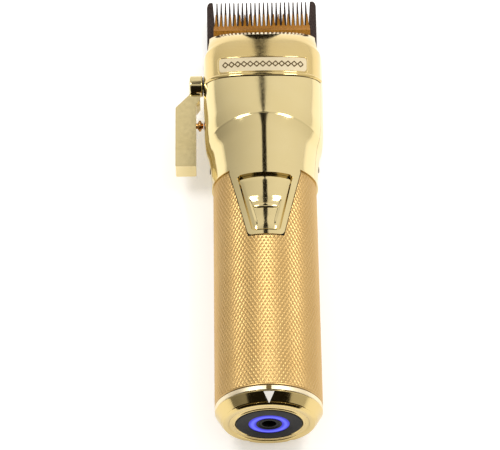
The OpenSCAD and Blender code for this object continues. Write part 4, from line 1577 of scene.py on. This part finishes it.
@dataclass
class Inside:
    """The pieces that only show when the clipper is open, and the finish of the rest."""

    edge: float = 0.12

    def build(self) -> None:
        """Builds the springs and finishes the nodes that are kept."""
        dress(self.springs(), "carriage", "spring_steel", "tension_springs")
        kept = [name for name in frame["nodes"] if name not in STOOD_FOR]
        for name in kept:
            self.finish_node(name)
        LOG.info("finished %d kept nodes", len(kept))

    def finish_node(self, name: str) -> None:
        """Gives a kept node its material and soft edges.

        Args:
            name: The node's name.
        """
        obj = frame["nodes"][name]
        material = finish_of(SLOT_OF[name])
        for slot in obj.material_slots:
            slot.material = material
        weld_points = obj.modifiers.new("weld", "WELD")
        weld_points.merge_threshold = 0.002 * MM
        made = obj.modifiers.new("soft_edges", "BEVEL")
        made.width, made.segments, made.limit_method = self.edge * MM, 2, "ANGLE"
        made.angle_limit, made.harden_normals = math.radians(40), True

    def springs(self) -> Piece:
        """Winds the two tension springs.

        Returns:
            The piece, both springs in one.
        """
        low, high = box("tension_springs")
        middle = (low + high) / 2
        length, radius, wire = 3.2, 1.1, 0.55
        sides = [(high[0] - length + wire / 2, "right_coil"), (low[0] + wire / 2, "left_coil")]
        coils = [coil(name, np.array([x, middle[1], middle[2]]), np.array([1.0, 0.0, 0.0]), radius, wire,
                      length - wire, 4.5) for x, name in sides]
        piece = join("wound_tension_springs", *coils)
        piece.data.shade_smooth()
        return piece


# ---------------------------------------------------------------- studio


@dataclass
class Studio:
    """The pale floor, two soft boxes, the dark flags that shape the reflections, and the camera."""

    floor_z: float
    centre: tuple[float, float, float] = (0.0, 98.0, 0.0)
    camera_at: tuple[float, float, float] = (-6.0, -371.9, 807.4)
    camera_towards: tuple[float, float, float] = (0.0, 0.492, -0.870)
    camera_roll: float = -0.83
    lens: float = 172.8
    level: float = 0.66
    lean: tuple[float, float, float] = (0.26, 0.42, 0.2)
    glow: float = 0.3

    def build(self) -> None:
        """Builds the whole studio."""
        bpy.context.scene.view_settings.view_transform = "Standard"
        self.world()
        self.floor()
        for side, name in ((-1, "left_key"), (1, "right_key")):
            self.soft_box(name, (side * 245.0, 165.0, 480.0), (180.0, 190.0), 9.0)
        self.flags()
        self.camera()

    def world(self) -> None:
        """Sets a pale surround that brightens towards the right, the blade end and the top."""
        world = bpy.data.worlds.new("surround")
        bpy.context.scene.world = world
        world.use_nodes = True
        tree = world.node_tree
        place = add(tree, "ShaderNodeTexCoord").outputs["Generated"]
        lean = add(tree, "ShaderNodeVectorMath", {1: self.lean}, {0: place}, operation="DOT_PRODUCT")
        level = add(tree, "ShaderNodeMath", {1: self.level}, {0: lean.outputs["Value"]}, operation="ADD")
        shade = tree.nodes["Background"]
        shade.inputs[0].default_value = linear("#F6F2EC")
        tree.links.new(level.outputs[0], shade.inputs[1])

    def floor(self) -> None:
        """Lays a faintly lit board just under the clipper."""
        size = 3000.0
        z = self.floor_z - 0.02
        corners = np.array([(-size, -size, z), (size, -size, z), (size, size, z), (-size, size, z)])
        floor = make_object("floor", corners, [(0, 1, 2, 3)])
        material, _, shader = start_material("painted_board_white")
        shader.inputs["Base Color"].default_value = linear("#F6F5F3")
        shader.inputs["Roughness"].default_value = 0.7
        shader.inputs["Specular IOR Level"].default_value = 0.0
        shader.inputs["Emission Color"].default_value = linear("#FFFFFF")
        shader.inputs["Emission Strength"].default_value = self.glow
        floor.data.materials.append(material)
        floor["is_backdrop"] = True

    def soft_box(self, name: str, place: tuple[float, float, float], size: tuple[float, float],
                 brightness: float) -> None:
        """Hangs one soft box that faces the clipper.

        Args:
            name: Its name.
            place: Where its middle is.
            size: Its width and height.
            brightness: How bright its face is, where white paper in the surround is about one.
        """
        light = bpy.data.lights.new(name, "AREA")
        light.shape, light.size, light.size_y = "RECTANGLE", size[0] * MM, size[1] * MM
        light.energy = brightness * math.pi * light.size * light.size_y
        obj = bpy.data.objects.new(name, light)
        obj.location = Vector(place) * MM
        towards = Vector(self.centre) - Vector(place)
        obj.rotation_euler = towards.to_track_quat("-Z", "Y").to_euler()
        bpy.context.collection.objects.link(obj)

    def flags(self) -> None:
        """Hangs a thin dark strip beyond the blades and a dark screen behind the camera."""
        reach = 560.0
        rise = np.radians(np.linspace(0, 88, 45))
        half = Profile((0, 7.0), (20, 7.0), (36, 12.0), (50, 26.0), (60, 40.0), (88, 48.0))(np.degrees(rise))
        points = [[(x * w, self.centre[1] + reach * math.cos(a), reach * math.sin(a)) for x in (-1, 1)]
                  for a, w in zip(rise, half)]
        low = [[(x * w, y, self.floor_z + 0.5) for x in (-1, 1)]
               for y, w in ((212, 9.0), (380, 8.0), (650, 7.0))]
        self.flag("strip_flag", np.array(low + points))
        turn = np.radians(np.linspace(-50, 50, 20))
        far = 620.0
        around = [(math.sin(t), -math.cos(t)) for t in turn]
        points = [[(near * x, near * y, self.floor_z + 0.5) for x, y in around] for near in (60.0, 330.0)]
        points += [[(far * x * math.cos(a), far * y * math.cos(a), far * math.sin(a)) for x, y in around]
                   for a in np.radians(np.linspace(0, 80, 14))]
        self.flag("back_flag", np.array(points))

    def flag(self, name: str, points: np.ndarray) -> None:
        """Hangs one dark flag that only shows in reflections.

        Args:
            name: Its name.
            points: Its points, by row and column.
        """
        flag = make_object(name, points, grid_faces(*points.shape[:2]))
        material, _, shader = start_material(f"black_cloth_{name}")
        shader.inputs["Base Color"].default_value = linear("#1A1712")
        shader.inputs["Roughness"].default_value = 0.9
        shader.inputs["Specular IOR Level"].default_value = 0.0
        flag.data.materials.append(material)
        flag.visible_camera = flag.visible_diffuse = flag.visible_shadow = False
        flag.visible_transmission = False
        flag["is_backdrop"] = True

    def camera(self) -> None:
        """Sets the camera at the view's place and angle."""
        camera = bpy.data.cameras.new("camera")
        camera.lens, camera.sensor_width = self.lens, 36.0
        camera.clip_start, camera.clip_end = 0.01, 20.0
        obj = bpy.data.objects.new("camera", camera)
        obj.location = Vector(self.camera_at) * MM
        look = Vector(self.camera_towards).to_track_quat("-Z", "Y")
        obj.rotation_mode = "QUATERNION"
        obj.rotation_quaternion = look @ Quaternion((0, 0, 1), math.radians(self.camera_roll))
        bpy.context.collection.objects.link(obj)
        bpy.context.scene.camera = obj


def main() -> None:
    """Builds the clipper and the studio."""
    logging.basicConfig(level=logging.INFO, format="%(name)s: %(message)s")
    cad_box = [list(corner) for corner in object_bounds()]
    grip_low, grip_high = box("grip_sleeve")
    rear_high, cover_high = box("rear_housing")[1], box("front_cover")[1]
    comb_low = box("comb_blade")[0]
    neck_y, grip_r = grip_high[1], grip_high[0]
    skin = HeadSkin(neck_y, grip_r, rear_high[0], rear_high[1] - neck_y, cover_high[1] - neck_y)
    tongue = Tongue(neck_y, skin.neck_r, neck_y - box("front_housing")[0][1])
    Studio(cad_box[0][2] / MM).build()
    Head(skin, tongue).build()
    Grip(grip_r, grip_low[1], neck_y, tongue).build()
    Base().build()
    PowerSwitch(grip_r + 0.35).build()
    TaperLever().build()
    Blades(comb_low[1], comb_low[2] + Blades.thickness * math.cos(Blades.tilt)).build()
    Inside().build()


if __name__ == "__main__":
    main()
